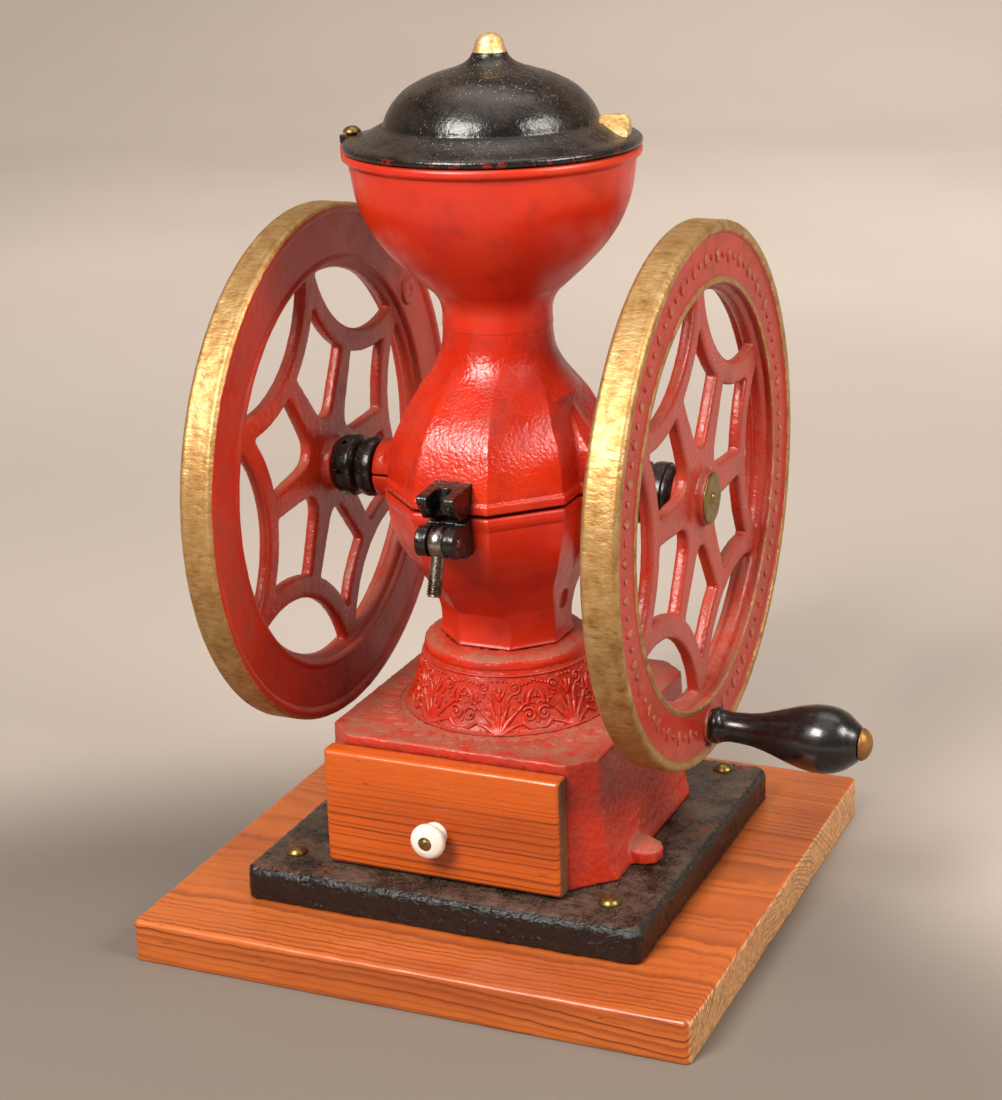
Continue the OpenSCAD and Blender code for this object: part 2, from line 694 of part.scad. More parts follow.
module left_key() {
  color(c_steel) key(xl);
}

module thrust_collar() {
  color(c_black) translate([0, 0, zs]) xrev([[68.6, bore_r], [68.6, 14.6], [69.6, 15.8], [78, 16],
    [79.4, 15], [80.2, 13.4], [81.4, 13.4], [82.2, 15], [83.4, 15.8], [88, 15.8], [90.6, 14.6],
    [94.8, 12.6], [94.8, bore_r]]);
}

module lock_collar() {
  color(c_black) translate([0, 0, zs]) xrev([[-68.6, bore_r], [-68.6, 13.4], [-69.6, 15],
    [-72, 15.6], [-75.4, 15.6], [-77.4, 15], [-78.6, 13.6], [-79.2, 13.4], [-79.2, bore_r]]);
}

module adjusting_nut() {
  color(c_black) difference() {
    translate([0, 0, zs]) xrev([[-79.6, shaft_r + run], [-79.6, 13.6], [-80.8, 15.4], [-82.4, 16.2],
      [-85, 16.4], [-88, 16.2], [-91, 14.6], [-92.2, 13], [-92.2, shaft_r + run]]);
    for (a = [30 : 60 : 330]) translate([-86, 0, zs]) rotate([a, 0, 0]) translate([0, 0, 12.5])
      cylinder(r = 1.5, h = 8);
  }
}

module rotating_burr() {
  color(c_steel) difference() {
    union() {
      translate([0, 0, zs]) xrev([[16.6, bore_r], [16.6, 50], [20, 50.4], [24, 50], [26, 44],
        [27, 20], [31, 17], [38, 16], [38, bore_r]]);
      for (a = [0 : 24 : 336]) translate([16.4, 0, zs]) rotate([a, 0, 0])
        translate([0, 34, 0]) rotate([-12, 0, 0]) cube([1.2, 26, 2.2], center = true);
    }
    translate([0, 0, zs]) xcyl(10, 16.6, 20.6);
  }
}

module auger() {
  color(c_iron) difference() {
    union() {
      translate([0, 0, zs]) xrev([[-40, bore_r], [-40, 11], [14, 11], [16.4, 12], [16.4, bore_r]]);
      // two turns of tilted blades
      intersection() {
        for (i = [0 : 15]) translate([-37 + i * 3.3, 0, zs]) rotate([i * 45, 0, 0])
          translate([0, 13, 0]) rotate([0, 24, 0]) cube([3.6, 12, 13.6], center = true);
        translate([0, 0, zs]) xcyl(-40, 16, 18.6);
      }
    }
    translate([0, 0, zs]) xcyl(-50, 20, bore_r);
  }
}

// ---------------------------------------------------------------- handle

module at_handle() {
  translate([0, handle_off * cos(handle_a), zs + handle_off * sin(handle_a)]) children();
}

grip_x = xr + wheel_w / 2 + 0.5;

module handle_bolt() {
  color(c_steel) at_handle() xrev([[xr - 12, 0], [xr - 12, 5.6], [xr - 8.6, 5.6], [xr - 8.6, 3.48],
    [grip_x + grip_l + 0.6, 3.48], [grip_x + grip_l + 0.6, 0]]);
}

module handle_washer() {
  color(c_steel) at_handle() xrev([[xr + wheel_w / 2 - 0.38, 3.5], [xr + wheel_w / 2 - 0.38, 8],
    [xr + wheel_w / 2 + 0.1, 8], [xr + wheel_w / 2 + 0.1, 3.5]]);
}

module handle_grip() {
  r = grip_d / 2;
  x = grip_x;
  color(c_black) at_handle() xrev([[x, 3.48 + run], [x, 8.6], [x + 1, 9.3], [x + 3, 9.4],
    [x + 4.6, 8.8], [x + 6, 8], [x + 9, 7.9], [x + 14, 7.9], [x + 20, 8.4], [x + 26, 9.6],
    [x + 32, 11.4], [x + 38, 13.4], [x + 44, 15.2], [x + 50, r - 0.8], [x + 56, r], [x + 61, r - 0.3],
    [x + 66, r - 1.6], [x + 70, r - 3.8], [x + 73, r - 6.2], [x + grip_l, 9],
    [x + grip_l, 3.48 + run]]);
}

module handle_tip() {
  x = grip_x + grip_l + 0.6;
  color(c_brass) at_handle() xrev([[x, 0], [x, 8.2], [x + 0.8, 8.2], [x + 2.4, 7.2], [x + 4, 5.4],
    [x + 5.2, 3], [x + 5.6, 0]]);
}

wood_board();
sub_plate();
plate_screw_front_right();
plate_screw_front_left();
plate_screw_back_right();
plate_screw_back_left();
base_casting();
runner_right();
runner_left();
lower_shell();
fixed_burr();
clamp_bracket();
clamp_pin();
rear_hinge_bracket();
rear_hinge_pin();
drawer_front();
drawer_side_right();
drawer_side_left();
drawer_back();
drawer_bottom();
drawer_knob();
knob_screw();
upper_shell();
hopper();
clamp_lug();
rear_hinge_lug();
lid_pivot_screw();
lid();
lid_knob();
thumb_tab();
swing_bolt();
shaft();
right_rim();
right_web();
left_rim();
left_web();
right_hub_cap();
left_hub_cap();
right_key();
left_key();
thrust_collar();
lock_collar();
adjusting_nut();
rotating_burr();
auger();
handle_bolt();
handle_washer();
handle_grip();
handle_tip();
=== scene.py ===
"""Looks for the two-wheel coffee mill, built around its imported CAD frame."""

import json
from math import atan2, cos, exp, pi, radians, sin, sqrt

import bmesh
import bpy
import numpy as np
from mathutils import Matrix, Vector, noise

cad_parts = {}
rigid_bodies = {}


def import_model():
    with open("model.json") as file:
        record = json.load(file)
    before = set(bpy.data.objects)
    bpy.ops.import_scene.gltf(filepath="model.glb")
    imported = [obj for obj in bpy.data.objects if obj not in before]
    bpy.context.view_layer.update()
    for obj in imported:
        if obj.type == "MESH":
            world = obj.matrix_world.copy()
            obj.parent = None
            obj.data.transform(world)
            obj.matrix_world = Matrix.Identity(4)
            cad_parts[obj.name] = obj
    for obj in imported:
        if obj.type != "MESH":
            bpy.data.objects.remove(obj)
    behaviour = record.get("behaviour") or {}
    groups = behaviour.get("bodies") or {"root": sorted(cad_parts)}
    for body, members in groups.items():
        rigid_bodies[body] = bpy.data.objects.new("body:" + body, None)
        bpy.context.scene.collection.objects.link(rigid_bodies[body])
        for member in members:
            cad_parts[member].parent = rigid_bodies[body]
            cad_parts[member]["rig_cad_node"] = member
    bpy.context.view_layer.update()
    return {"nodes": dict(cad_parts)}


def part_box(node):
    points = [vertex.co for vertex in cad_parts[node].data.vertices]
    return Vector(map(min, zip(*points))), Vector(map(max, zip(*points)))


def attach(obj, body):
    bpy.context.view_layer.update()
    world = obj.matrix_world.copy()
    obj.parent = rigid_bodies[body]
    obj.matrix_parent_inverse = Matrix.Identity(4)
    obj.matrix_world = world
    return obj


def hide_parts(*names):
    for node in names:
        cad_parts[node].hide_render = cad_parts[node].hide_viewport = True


MM = 0.001
TAU = 2 * pi
scene = bpy.context.scene

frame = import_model()
nodes = frame["nodes"]


def box_mm(node):
    lo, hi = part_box(node)
    return np.array(lo) / MM, np.array(hi) / MM


SHAFT_Z = float(np.mean([b[2] for b in box_mm("shaft")]))
PLATE_TOP = float(box_mm("sub_plate")[1][2])
BASE_TOP = float(box_mm("base_casting")[0][2]) + 69.0

# radii of holes and heights of joints, in mm
SHAFT_BORE, BEARING_LOW, BEARING_HIGH = 8.1, 8.3, 8.6
CRANK_HOLE, GRIP_HOLE, KNOB_HOLE, LID_PIN_HOLE = 3.4, 3.6, 2.0, 2.7
POINT = 0.02  # where a turned profile meets its axis
BELL_TOP, LOW_TOP, HIGH_FOOT, NECK_TOP = 149.4, 231.0, 232.6, 303.5


# ---- geometry


def hermite(t, x, y):
    """Smooth curve through the points (t, y), read at x."""
    t, y = np.asarray(t, float), np.asarray(y, float)
    h = np.diff(t)
    d = np.diff(y, axis=0) / h.reshape((-1,) + (1,) * (y.ndim - 1))
    m = np.empty_like(y)
    m[0], m[-1] = d[0], d[-1]
    if len(t) > 2:
        w = h.reshape((-1,) + (1,) * (y.ndim - 1))
        m[1:-1] = (d[:-1] * w[1:] + d[1:] * w[:-1]) / (w[1:] + w[:-1])
    i = np.clip(np.searchsorted(t, x, "right") - 1, 0, len(h) - 1)
    s = (x - t[i]) / h[i]
    if y.ndim > 1:
        s, hi = s[:, None], h[i][:, None]
    else:
        hi = h[i]
    a = 2 * s**3 - 3 * s**2 + 1
    b = s**3 - 2 * s**2 + s
    return a * y[i] + b * hi * m[i] + (1 - a) * y[i + 1] + (s**3 - s**2) * hi * m[i + 1]


def curve(points, step=0.8):
    """A smooth line through (a, b) points. A third value marks a corner."""
    runs, run = [], []
    for p in points:
        run.append(p[:2])
        if len(p) == 3 and len(run) > 1:
            runs.append(run)
            run = [p[:2]]
    if len(run) > 1:
        runs.append(run)
    out = []
    for run in runs:
        p = np.array(run, float)
        t = np.concatenate([[0], np.cumsum(np.linalg.norm(np.diff(p, axis=0), axis=1))])
        n = max(2, int(t[-1] / step) + 1)
        at = np.linspace(0, t[-1], n)
        if t[-1] > 0.6:
            at = np.concatenate([[0, 0.15], at[1:-1], [t[-1] - 0.15, t[-1]]])
            at = np.unique(at)
        q = hermite(t, at, p)
        out.append(q if not out else q[1:])
    return np.concatenate(out)


def around(n):
    """n angles, evenly round a circle."""
    return np.arange(n) * TAU / n


def polar(r, t, z):
    return np.stack(np.broadcast_arrays(r * np.cos(t), r * np.sin(t), z), -1)


def level(outline, z):
    """Flat points (x, y) lifted to one height."""
    return np.column_stack([outline, np.full(len(outline), z)])


def shifted(prof, by, side=1):
    """A profile moved along its axis, or mirrored with side -1."""
    return [(by + side * a, *rest) for a, *rest in prof]


def link(name, me, mat, angle=None):
    o = bpy.data.objects.new(name, me)
    scene.collection.objects.link(o)
    me.materials.append(mat)
    me.shade_smooth()
    if angle:
        me.set_sharp_from_angle(angle=radians(angle))
    return o


def surface(name, P, mat, wrap=False, angle=None):
    """P is rows x columns x 3 in mm. Columns close; rows close if wrap, else they get caps."""
    R, C = P.shape[:2]
    i = np.arange(R if wrap else R - 1)[:, None]
    j = np.arange(C)[None]
    quads = np.stack(
        [i * C + j, i * C + (j + 1) % C, (i + 1) % R * C + (j + 1) % C, (i + 1) % R * C + j], -1
    ).reshape(-1, 4)
    verts = P.reshape(-1, 3)
    faces = quads.tolist()
    if not wrap:
        verts = np.concatenate([verts, P[0].mean(0)[None], P[-1].mean(0)[None]])
        k = R * C
        faces += [[(c + 1) % C, c, k] for c in range(C)]
        faces += [[(R - 1) * C + c, (R - 1) * C + (c + 1) % C, k + 1] for c in range(C)]
    me = bpy.data.meshes.new(name)
    me.from_pydata((verts * MM).tolist(), [], faces)
    bm = bmesh.new()
    bm.from_mesh(me)
    bmesh.ops.remove_doubles(bm, verts=bm.verts, dist=1e-6)
    bmesh.ops.recalc_face_normals(bm, faces=bm.faces)
    bm.to_mesh(me)
    bm.free()
    return link(name, me, mat, angle)


def lathe(name, prof, mat, at=(0, 0, 0), axis="z", seg=192, wrap=False):
    """Turns (along, radius) points about an axis."""
    p = np.asarray(prof, float)
    t = around(seg)
    a = p[:, :1] + 0 * t
    c, s = p[:, 1:2] * np.cos(t), p[:, 1:2] * np.sin(t)
    P = {"z": (c, s, a), "x": (a, c, s), "y": (c, -a, s)}[axis]
    return surface(name, np.stack(P, -1) + np.array(at, float), mat, wrap)


def on_shaft(name, prof, mat, seg, x=0, wrap=False):
    """Turned about the shaft's line."""
    return lathe(name, prof, mat, (x, 0, SHAFT_Z), "x", seg, wrap)


def bake(o):
    dg = bpy.context.evaluated_depsgraph_get()
    me = bpy.data.meshes.new_from_object(o.evaluated_get(dg), depsgraph=dg)
    mats = list(o.data.materials)
    o.modifiers.clear()
    o.data = me
    me.materials.clear()
    for m in mats:
        me.materials.append(m)
    me.polygons.foreach_set("material_index", np.zeros(len(me.polygons), np.int32))
    me.shade_smooth()
    return o


def read(o, what):
    a = np.empty(len(o.data.vertices) * 3)
    o.data.vertices.foreach_get(what, a)
    return a.reshape(-1, 3)


def reshape(o, move):
    """Moves the vertices by a function of their places in mm."""
    co = move(read(o, "co") / MM) * MM
    o.data.vertices.foreach_set("co", co.ravel())
    o.data.update()
    return o


def puff(o, by):
    """Grows a mesh along its normals by a distance in mm."""
    no = read(o, "normal")
    return reshape(o, lambda co: co + no * by)


def roughen(o, amp, size, shift=0.0):
    """Moves the vertices along their normals by soft noise, in mm."""
    no = read(o, "normal")

    def move(co):
        q = co / size + shift
        d = np.array([noise.noise(Vector(p)) + 0.5 * noise.noise(Vector(p * 2.3)) for p in q])
        return co + no * d[:, None] * amp

    return reshape(o, move)


def joined(name, objs, mat):
    """One mesh from several. Only CAD nodes stay."""
    bm = bmesh.new()
    for o in objs:
        bm.from_mesh(o.data)
        if "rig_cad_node" not in o:
            bpy.data.objects.remove(o)
    me = bpy.data.meshes.new(name)
    bm.to_mesh(me)
    bm.free()
    me.materials.clear()
    return link(name, me, mat)


def fused(name, objs, mat, voxel, rounds):
    """One soft-edged skin, with a cell of voxel mm, over closed solids that may overlap."""
    o = joined(name, objs, mat)
    m = o.modifiers.new("skin", "REMESH")
    m.mode, m.voxel_size = "VOXEL", voxel * MM
    s = o.modifiers.new("soft", "SMOOTH")
    s.factor, s.iterations = 0.5, rounds
    return bake(o)


def casting(name, body, cad, mat, voxel, rounds, extra=(), rough=None, grow=0.0, move=None):
    """A casting from CAD nodes and extra closed solids, in place of those nodes."""
    o = fused(name, [nodes[n] for n in cad] + list(extra), mat, voxel, rounds)
    if grow:
        puff(o, grow)
    if move:
        reshape(o, move)
    if rough:
        roughen(o, *rough)
    return place(o, body, cad)


def place(o, body, cad=()):
    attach(o, body)
    if cad:
        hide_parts(*cad)
    return o


def cut(o, tool):
    m = o.modifiers.new("cut", "BOOLEAN")
    m.operation, m.object, m.solver = "DIFFERENCE", tool, "EXACT"
    bake(o)
    bpy.data.objects.remove(tool)
    return o


# ---- materials


def rgb(h):
    c = [int(h[i : i + 2], 16) / 255 for i in (0, 2, 4)]
    return [x / 12.92 if x < 0.04045 else ((x + 0.055) / 1.055) ** 2.4 for x in c] + [1.0]


class Mat:
    """A node material. Its helpers return sockets."""

    def __init__(self, name, **fixed):
        self.m = bpy.data.materials.new(name)
        self.m.use_nodes = True
        self.t = self.m.node_tree
        self.t.nodes.clear()
        self.p = self.node("BsdfPrincipled")
        out = self.node("OutputMaterial")
        self.t.links.new(self.p.outputs[0], out.inputs["Surface"])
        tc = self.node("TexCoord")
        self.co, self.up = tc.outputs["Object"], tc.outputs["Normal"]
        for k, v in fixed.items():
            self.p.inputs[k.replace("_", " ")].default_value = v

    def node(self, kind, props=(), **ins):
        n = self.t.nodes.new("ShaderNode" + kind)
        for k, v in dict(props).items():
            setattr(n, k, v)
        for k, v in ins.items():
            self.put(n.inputs[k.replace("_", " ")], v)
        return n

    def put(self, sock, v):
        if isinstance(v, bpy.types.NodeSocket):
            self.t.links.new(v, sock)
        else:
            sock.default_value = v

    def noise(self, scale, detail=4.0, rough=0.55, vec=None):
        n = self.node("TexNoise", Scale=scale, Detail=detail, Roughness=rough)
        self.put(n.inputs["Vector"], vec or self.co)
        return n.outputs["Fac"]

    def cells(self, scale, vec=None, feature="F1"):
        n = self.node("TexVoronoi", {"feature": feature}, Scale=scale)
        self.put(n.inputs["Vector"], vec or self.co)
        return n.outputs["Distance"]

    def stretch(self, x, y, z):
        return self.node("Mapping", Scale=(x, y, z), Vector=self.co).outputs[0]

    def line(self, value):
        """A vector along X, for noise that changes with one number."""
        return self.node("CombineXYZ", X=value).outputs[0]

    def math(self, op, a, b=0.0):
        n = self.node("Math", {"operation": op})
        self.put(n.inputs[0], a)
        self.put(n.inputs[1], b)
        return n.outputs[0]

    def mul(self, a, b):
        return self.math("MULTIPLY", a, b)

    def add(self, a, b):
        return self.math("ADD", a, b)

    def step(self, f, lo, hi, to_lo=0.0, to_hi=1.0):
        n = self.node("MapRange", {"interpolation_type": "SMOOTHSTEP"})
        for s, v in zip(n.inputs, (f, lo, hi, to_lo, to_hi)):
            self.put(s, v)
        return n.outputs[0]

    def ramp(self, f, *stops):
        n = self.node("ValToRGB")
        e = n.color_ramp.elements
        while len(e) < len(stops):
            e.new(0.5)
        for el, (p, c) in zip(e, stops):
            el.position, el.color = p, rgb(c)
        self.put(n.inputs[0], f)
        return n.outputs[0]

    def mix(self, f, a, b):
        n = self.node("Mix", {"data_type": "RGBA"})
        self.put(n.inputs[0], f)
        self.put(n.inputs[6], rgb(a) if isinstance(a, str) else a)
        self.put(n.inputs[7], rgb(b) if isinstance(b, str) else b)
        return n.outputs[2]

    def blend(self, f, a, b):
        n = self.node("Mix", {"data_type": "FLOAT"})
        for i, v in zip((0, 2, 3), (f, a, b)):
            self.put(n.inputs[i], v)
        return n.outputs[0]

    def xyz(self, vec=None):
        n = self.node("SeparateXYZ")
        self.put(n.inputs[0], vec or self.co)
        return n.outputs

    def facing_up(self, lo, hi):
        return self.step(self.xyz(self.up)[2], lo, hi)

    def soot(self, fine, detail, rough, share, coarse):
        """Fine grains that gather in coarser patches."""
        return self.add(self.mul(self.noise(fine, detail, rough), share), self.mul(coarse, 1 - share))

    # ambient occlusion, used to paint shade into hollows and creases
    def hollow_shade(self, dist):
        n = self.node("AmbientOcclusion", {"samples": 6}, Distance=dist)
        return n.outputs["AO"]

    def bumps(self, *layers):
        """Each layer is (height, strength, distance in mm)."""
        last = None
        for h, s, d in layers:
            n = self.node("Bump", Strength=s, Distance=d * MM, Height=h)
            if last:
                self.put(n.inputs["Normal"], last)
            last = n.outputs[0]
        self.put(self.p.inputs["Normal"], last)

    def out(self, color, rough, metal=None):
        self.put(self.p.inputs["Base Color"], color)
        self.put(self.p.inputs["Roughness"], rough)
        if metal is not None:
            self.put(self.p.inputs["Metallic"], metal)
        return self.m


def red_coat(m, peel, dust, dull, deep, fog=0.0):
    """Old brushed enamel: (colour, roughness, height)."""
    big, mid, fine = m.noise(14, 3), m.noise(70, 5, 0.6), m.noise(560, 2, 0.5)
    col = m.ramp(big, (0.34, "ad1c05"), (0.52, "c02406"), (0.68, "cc2f09"))
    col = m.mix(m.step(mid, 0.5, 0.74, 0, 0.4), col, "7e1004")
    col = m.mix(deep, col, "5c1007")
    col = m.mix(m.step(m.noise(9, 4, 0.6), 0.5, 0.72, 0, 0.45), col, "8c1305")
    spots = m.step(m.cells(110), 0.05, 0.12, 1, 0)
    spots = m.mul(spots, m.step(m.noise(30, 2), 0.6, 0.68))
    col = m.mix(m.mul(spots, 0.7), col, "3a150e")
    soot = m.soot(900, 5, 0.75, 0.55, m.noise(90, 4, 0.6))
    film = m.mul(m.mul(m.facing_up(0.2, 0.95), m.step(soot, 0.36, 0.6)), dust)
    col = m.mix(film, col, "955f49")
    if fog:
        haze = m.step(m.soot(1200, 4, 0.7, 0.5, mid), 0.35, 0.62)
        col = m.mix(m.mul(haze, fog), col, "9a5540")
    # painted shade: the enamel goes dark in hollows, creases and between parts, by ambient occlusion
    hollow_shade_mask = m.step(m.hollow_shade(0.004), 0.35, 0.85, 0.6, 0.0)
    col = m.mix(hollow_shade_mask, col, "40100a")
    rough = m.add(m.step(mid, 0.3, 0.75, dull, dull + 0.16), m.mul(film, 0.5))
    height = m.blend(peel, fine, m.noise(650, 2, 0.5))
    return col, rough, height


def enamel(name, peel=0.5, dust=0.4, dull=0.3, deep=0.0, bump=0.3, big=0.16, fog=0.0):
    m = Mat(name, Specular_IOR_Level=0.55)
    col, rough, h = red_coat(m, peel, dust, dull, deep, fog)
    m.bumps((h, bump, 0.35), (m.noise(60, 3), big, 0.7))
    return m.out(col, rough)


def gold_coat(m, tones=("845e33", "ae854f", "d2b07a")):
    grain = m.noise(300, 4, 0.6, m.stretch(0.5, 1.1, 1.1))
    mid, big = m.noise(110, 5, 0.65), m.noise(16, 3)
    col = m.ramp(mid, (0.24, tones[0]), (0.42, tones[1]), (0.72, tones[2]))
    col = m.mix(m.step(big, 0.42, 0.66, 0.0, 0.35), col, tones[1])
    col = m.mix(m.step(grain, 0.3, 0.46, 0.5, 0.0), col, "6b4a24")
    rub = m.mul(m.step(m.noise(38, 5, 0.7), 0.6, 0.72), 0.55)
    col = m.mix(rub, col, "8a4a24")
    nick = m.step(m.cells(130, m.stretch(1.6, 0.7, 0.7)), 0.05, 0.12, 1, 0)
    nick = m.mul(nick, m.step(m.noise(21, 2), 0.6, 0.66))
    col = m.mix(nick, col, "a5200f")
    rough = m.step(mid, 0.3, 0.75, 0.54, 0.42)
    metal = m.step(nick, 0.2, 0.8, 0.78, 0.0)
    return col, rough, metal, grain


def gold(name, bump, tones):
    m = Mat(name)
    col, rough, metal, h = gold_coat(m, tones)
    m.bumps((h, bump, 0.9), (m.noise(90, 3), 0.25, 0.8))
    return m.out(col, rough, metal)


def wheel_paint(name, node, side):
    """Gold tyre, lip, line and stud tips over red, by the distance from the shaft in metres."""
    m = Mat(name)
    x, y, z = m.xyz()
    z = m.math("SUBTRACT", z, SHAFT_Z * MM)
    r = m.math("SQRT", m.add(m.mul(y, y), m.mul(z, z)))
    r = m.add(r, m.mul(m.math("SUBTRACT", m.noise(240, 3), 0.5), 0.0016))
    face = box_mm(node)[side > 0][0] * MM
    depth = m.math("ABSOLUTE", m.math("SUBTRACT", x, face))
    outer = m.math("LESS_THAN", depth, 0.0032)

    def band(a, b, c, d):
        return m.mul(m.mul(outer, m.step(r, a, b)), m.step(r, c, d, 1, 0))

    lip = m.mul(outer, m.step(r, 0.1308, 0.1312))
    line = band(0.1060, 0.1063, 0.1088, 0.1092)
    tips = m.mul(band(0.1152, 0.1156, 0.1236, 0.1240), m.mul(m.step(depth, 0.0011, 0.0017, 1, 0), 0.75))
    mask = m.step(r, 0.1347, 0.1351)
    for gilt in (m.mul(tips, m.step(m.noise(180, 3), 0.42, 0.56)), lip, line):
        mask = m.math("MAXIMUM", mask, gilt)
    rc, rr, rh = red_coat(m, 0.4, 0.75, 0.34, 0.2, 0.3)
    gc, gr, gm, gh = gold_coat(m)
    height, strength = m.blend(mask, rh, gh), m.blend(mask, 0.4, 0.75)
    m.bumps((height, strength, 0.8), (m.noise(80, 3), 0.2, 0.7))
    return m.out(m.mix(mask, rc, gc), m.blend(mask, rr, gr), m.mul(mask, gm))


def black(name, dull, dust, bump, chip=0.0):
    """Black enamel with dust and pale specks, part dust and part painted glints. Chips at the lid's edge show red."""
    m = Mat(name)
    mid, fine = m.noise(60, 5, 0.65), m.noise(620, 3, 0.6)
    col = m.ramp(mid, (0.3, "080706"), (0.7, "14110e"))
    soot = m.soot(1100, 5, 0.8, 0.6, m.noise(45, 4, 0.6))
    film = m.mul(m.mul(m.facing_up(0.1, 0.95), m.step(soot, 0.4, 0.62)), dust)
    col = m.mix(film, col, "6a584a")
    # pale specks: part dust, part painted glints on the satin black
    speck_and_glint = m.step(m.cells(480), 0.1, 0.2, 1, 0)
    speck_and_glint = m.mul(speck_and_glint, m.step(m.noise(35, 3), 0.42, 0.62, 0.1, 1.0))
    col = m.mix(m.mul(speck_and_glint, min(dust * 1.6, 0.6)), col, "c8bba6")
    if chip:
        z = m.xyz()[2]
        near = m.mul(m.step(z, 0.4012, 0.4018), m.step(z, 0.4046, 0.4054, 1, 0))
        hit = m.mul(near, m.step(m.noise(170, 4, 0.6), 0.56, 0.62, 0, chip))
        col = m.mix(hit, col, "6e1a0f")
    rough = m.add(m.step(mid, 0.3, 0.72, dull, dull + 0.12), m.mul(film, 0.35))
    m.bumps((fine, bump, 0.3), (m.noise(160, 2), 0.12, 0.5))
    return m.out(col, rough)


def rough_iron(name):
    m = Mat(name)
    grit, mid = m.noise(330, 6, 0.7), m.noise(60, 5, 0.7)
    up = m.facing_up(0.75, 0.98)
    col = m.ramp(mid, (0.3, "070605"), (0.6, "110e0b"), (0.8, "1b1612"))
    film = m.mul(m.mul(up, m.step(m.soot(900, 5, 0.8, 0.5, mid), 0.4, 0.6)), 0.7)
    col = m.mix(film, col, "6b5546")
    rust = m.mul(m.mul(up, m.step(m.noise(34, 4, 0.6), 0.58, 0.68)), m.step(m.noise(500, 3), 0.45, 0.6))
    col = m.mix(m.mul(rust, 0.7), col, "7c3c1c")
    rough = m.add(m.step(grit, 0.35, 0.7, 0.13, 0.28), m.mul(film, 0.5))
    m.bumps((grit, 0.8, 0.7), (m.noise(260, 3, 0.55), 1.0, 1.8))
    return m.out(col, rough)


def wood(name, heart, ring, tones, gloss, waves=1.0, dust=0.0, end="a5724a", line=1.0, calm=None, soft=0.3):
    """Growth rings, ring mm apart, about a line along X at heart = (y, z). They fade over the heights calm."""
    m = Mat(name, Coat_Weight=0.25, Coat_Roughness=0.2)
    bend = m.node("TexNoise", Scale=1.0, Detail=2.0, Roughness=0.5)
    m.put(bend.inputs["Vector"], m.stretch(1.6, 9, 9))
    off = m.node("VectorMath", {"operation": "SUBTRACT"})
    m.put(off.inputs[0], bend.outputs["Color"])
    off.inputs[1].default_value = (0.5, 0.5, 0.5)
    _, by, bz = m.xyz(off.outputs[0])
    x, y, z = m.xyz()
    y = m.add(m.math("SUBTRACT", y, heart[0] * MM), m.mul(by, 0.03 * waves))
    z = m.add(m.math("SUBTRACT", z, heart[1] * MM), m.mul(bz, 0.03 * waves))
    d = m.math("SQRT", m.add(m.mul(y, y), m.mul(z, z)))
    d = m.add(d, m.mul(m.noise(1.0, 3, 0.6, m.stretch(6, 90, 90)), 0.0012))
    t = m.mul(d, 1000.0 / ring)
    t = m.add(t, m.mul(m.noise(1.0, 1, 0.5, m.line(m.mul(t, 0.37))), 2.6))
    year = m.noise(1.0, 1, 0.5, m.line(m.mul(m.math("FLOOR", t), 7.31)))
    f = m.math("FRACT", t)
    late = m.mul(m.step(f, soft, 0.86), m.step(f, 0.92, 1.0, 1, 0))
    late = m.mul(late, m.step(year, 0.34, 0.62, 0.15, 1.0))
    late = m.mul(late, m.step(m.noise(1.0, 3, 0.5, m.stretch(4, 26, 26)), 0.36, 0.62, 0.35, 1.0))
    if calm:
        late = m.mul(late, m.step(m.xyz()[2], calm[0] * MM, calm[1] * MM, 1.0, 0.25))
    late = m.mul(late, line)
    fibre = m.noise(1.0, 4, 0.65, m.stretch(28, 1500, 1500))
    col = m.mix(late, tones[0], tones[1])
    col = m.mix(m.step(fibre, 0.42, 0.7, 0, 0.35), col, tones[2])
    col = m.mix(m.step(m.noise(1.0, 3, 0.5, m.stretch(5, 22, 22)), 0.42, 0.7, 0, 0.5), col, tones[3])
    side = m.step(m.math("ABSOLUTE", m.xyz(m.up)[0]), 0.6, 0.85)
    pale = m.mix(late, end, "6e3f20")
    pale = m.mix(m.step(m.noise(420, 4, 0.7), 0.45, 0.62, 0, 0.6), pale, "7c5233")
    col = m.mix(side, col, pale)
    marks = m.mul(m.step(m.noise(1.0, 5, 0.7, m.stretch(20, 55, 55)), 0.6, 0.74), 0.35)
    col = m.mix(marks, col, "4a2212")
    nicks = m.mul(m.step(m.noise(1.0, 4, 0.75, m.stretch(70, 420, 420)), 0.62, 0.7), 0.5)
    col = m.mix(nicks, col, "2c120a")
    # painted shade: the wood goes dark in hollows and where parts meet, by ambient occlusion
    wear_and_shade = m.step(m.hollow_shade(0.003), 0.4, 0.9, 0.45, 0.0)
    col = m.mix(wear_and_shade, col, "5a2710")
    if dust:
        film = m.mul(m.facing_up(0.7, 0.98), m.step(m.noise(600, 5, 0.75), 0.45, 0.75))
        col = m.mix(m.mul(film, dust), col, "a8765a")
    rough = m.add(m.step(fibre, 0.3, 0.7, gloss, gloss + 0.12), m.mul(side, 0.35))
    m.bumps((late, 0.12, 0.25), (fibre, 0.3, 0.25), (m.mul(side, m.noise(300, 4, 0.7)), 0.6, 0.8))
    return m.out(col, rough)


def plain_metal(name, tones, rough, metal=1.0, scratch=(1, 1, 1), bump=0.2, rust=0.0):
    m = Mat(name)
    mid, fine = m.noise(150, 5, 0.6), m.noise(700, 3, 0.6, m.stretch(*scratch))
    col = m.ramp(mid, (0.3, tones[0]), (0.7, tones[1]))
    met = m.step(mid, 0.2, 0.4, metal * 0.9, metal)
    if rust:
        hit = m.step(m.noise(240, 5, 0.7), 0.52, 0.66, 0, rust)
        col = m.mix(hit, col, "4c2a1a")
        met = m.mul(met, m.step(hit, 0, 1, 1, 0.2))
    m.bumps((fine, bump, 0.2))
    return m.out(col, m.step(fine, 0.3, 0.7, rough, rough + 0.14), met)


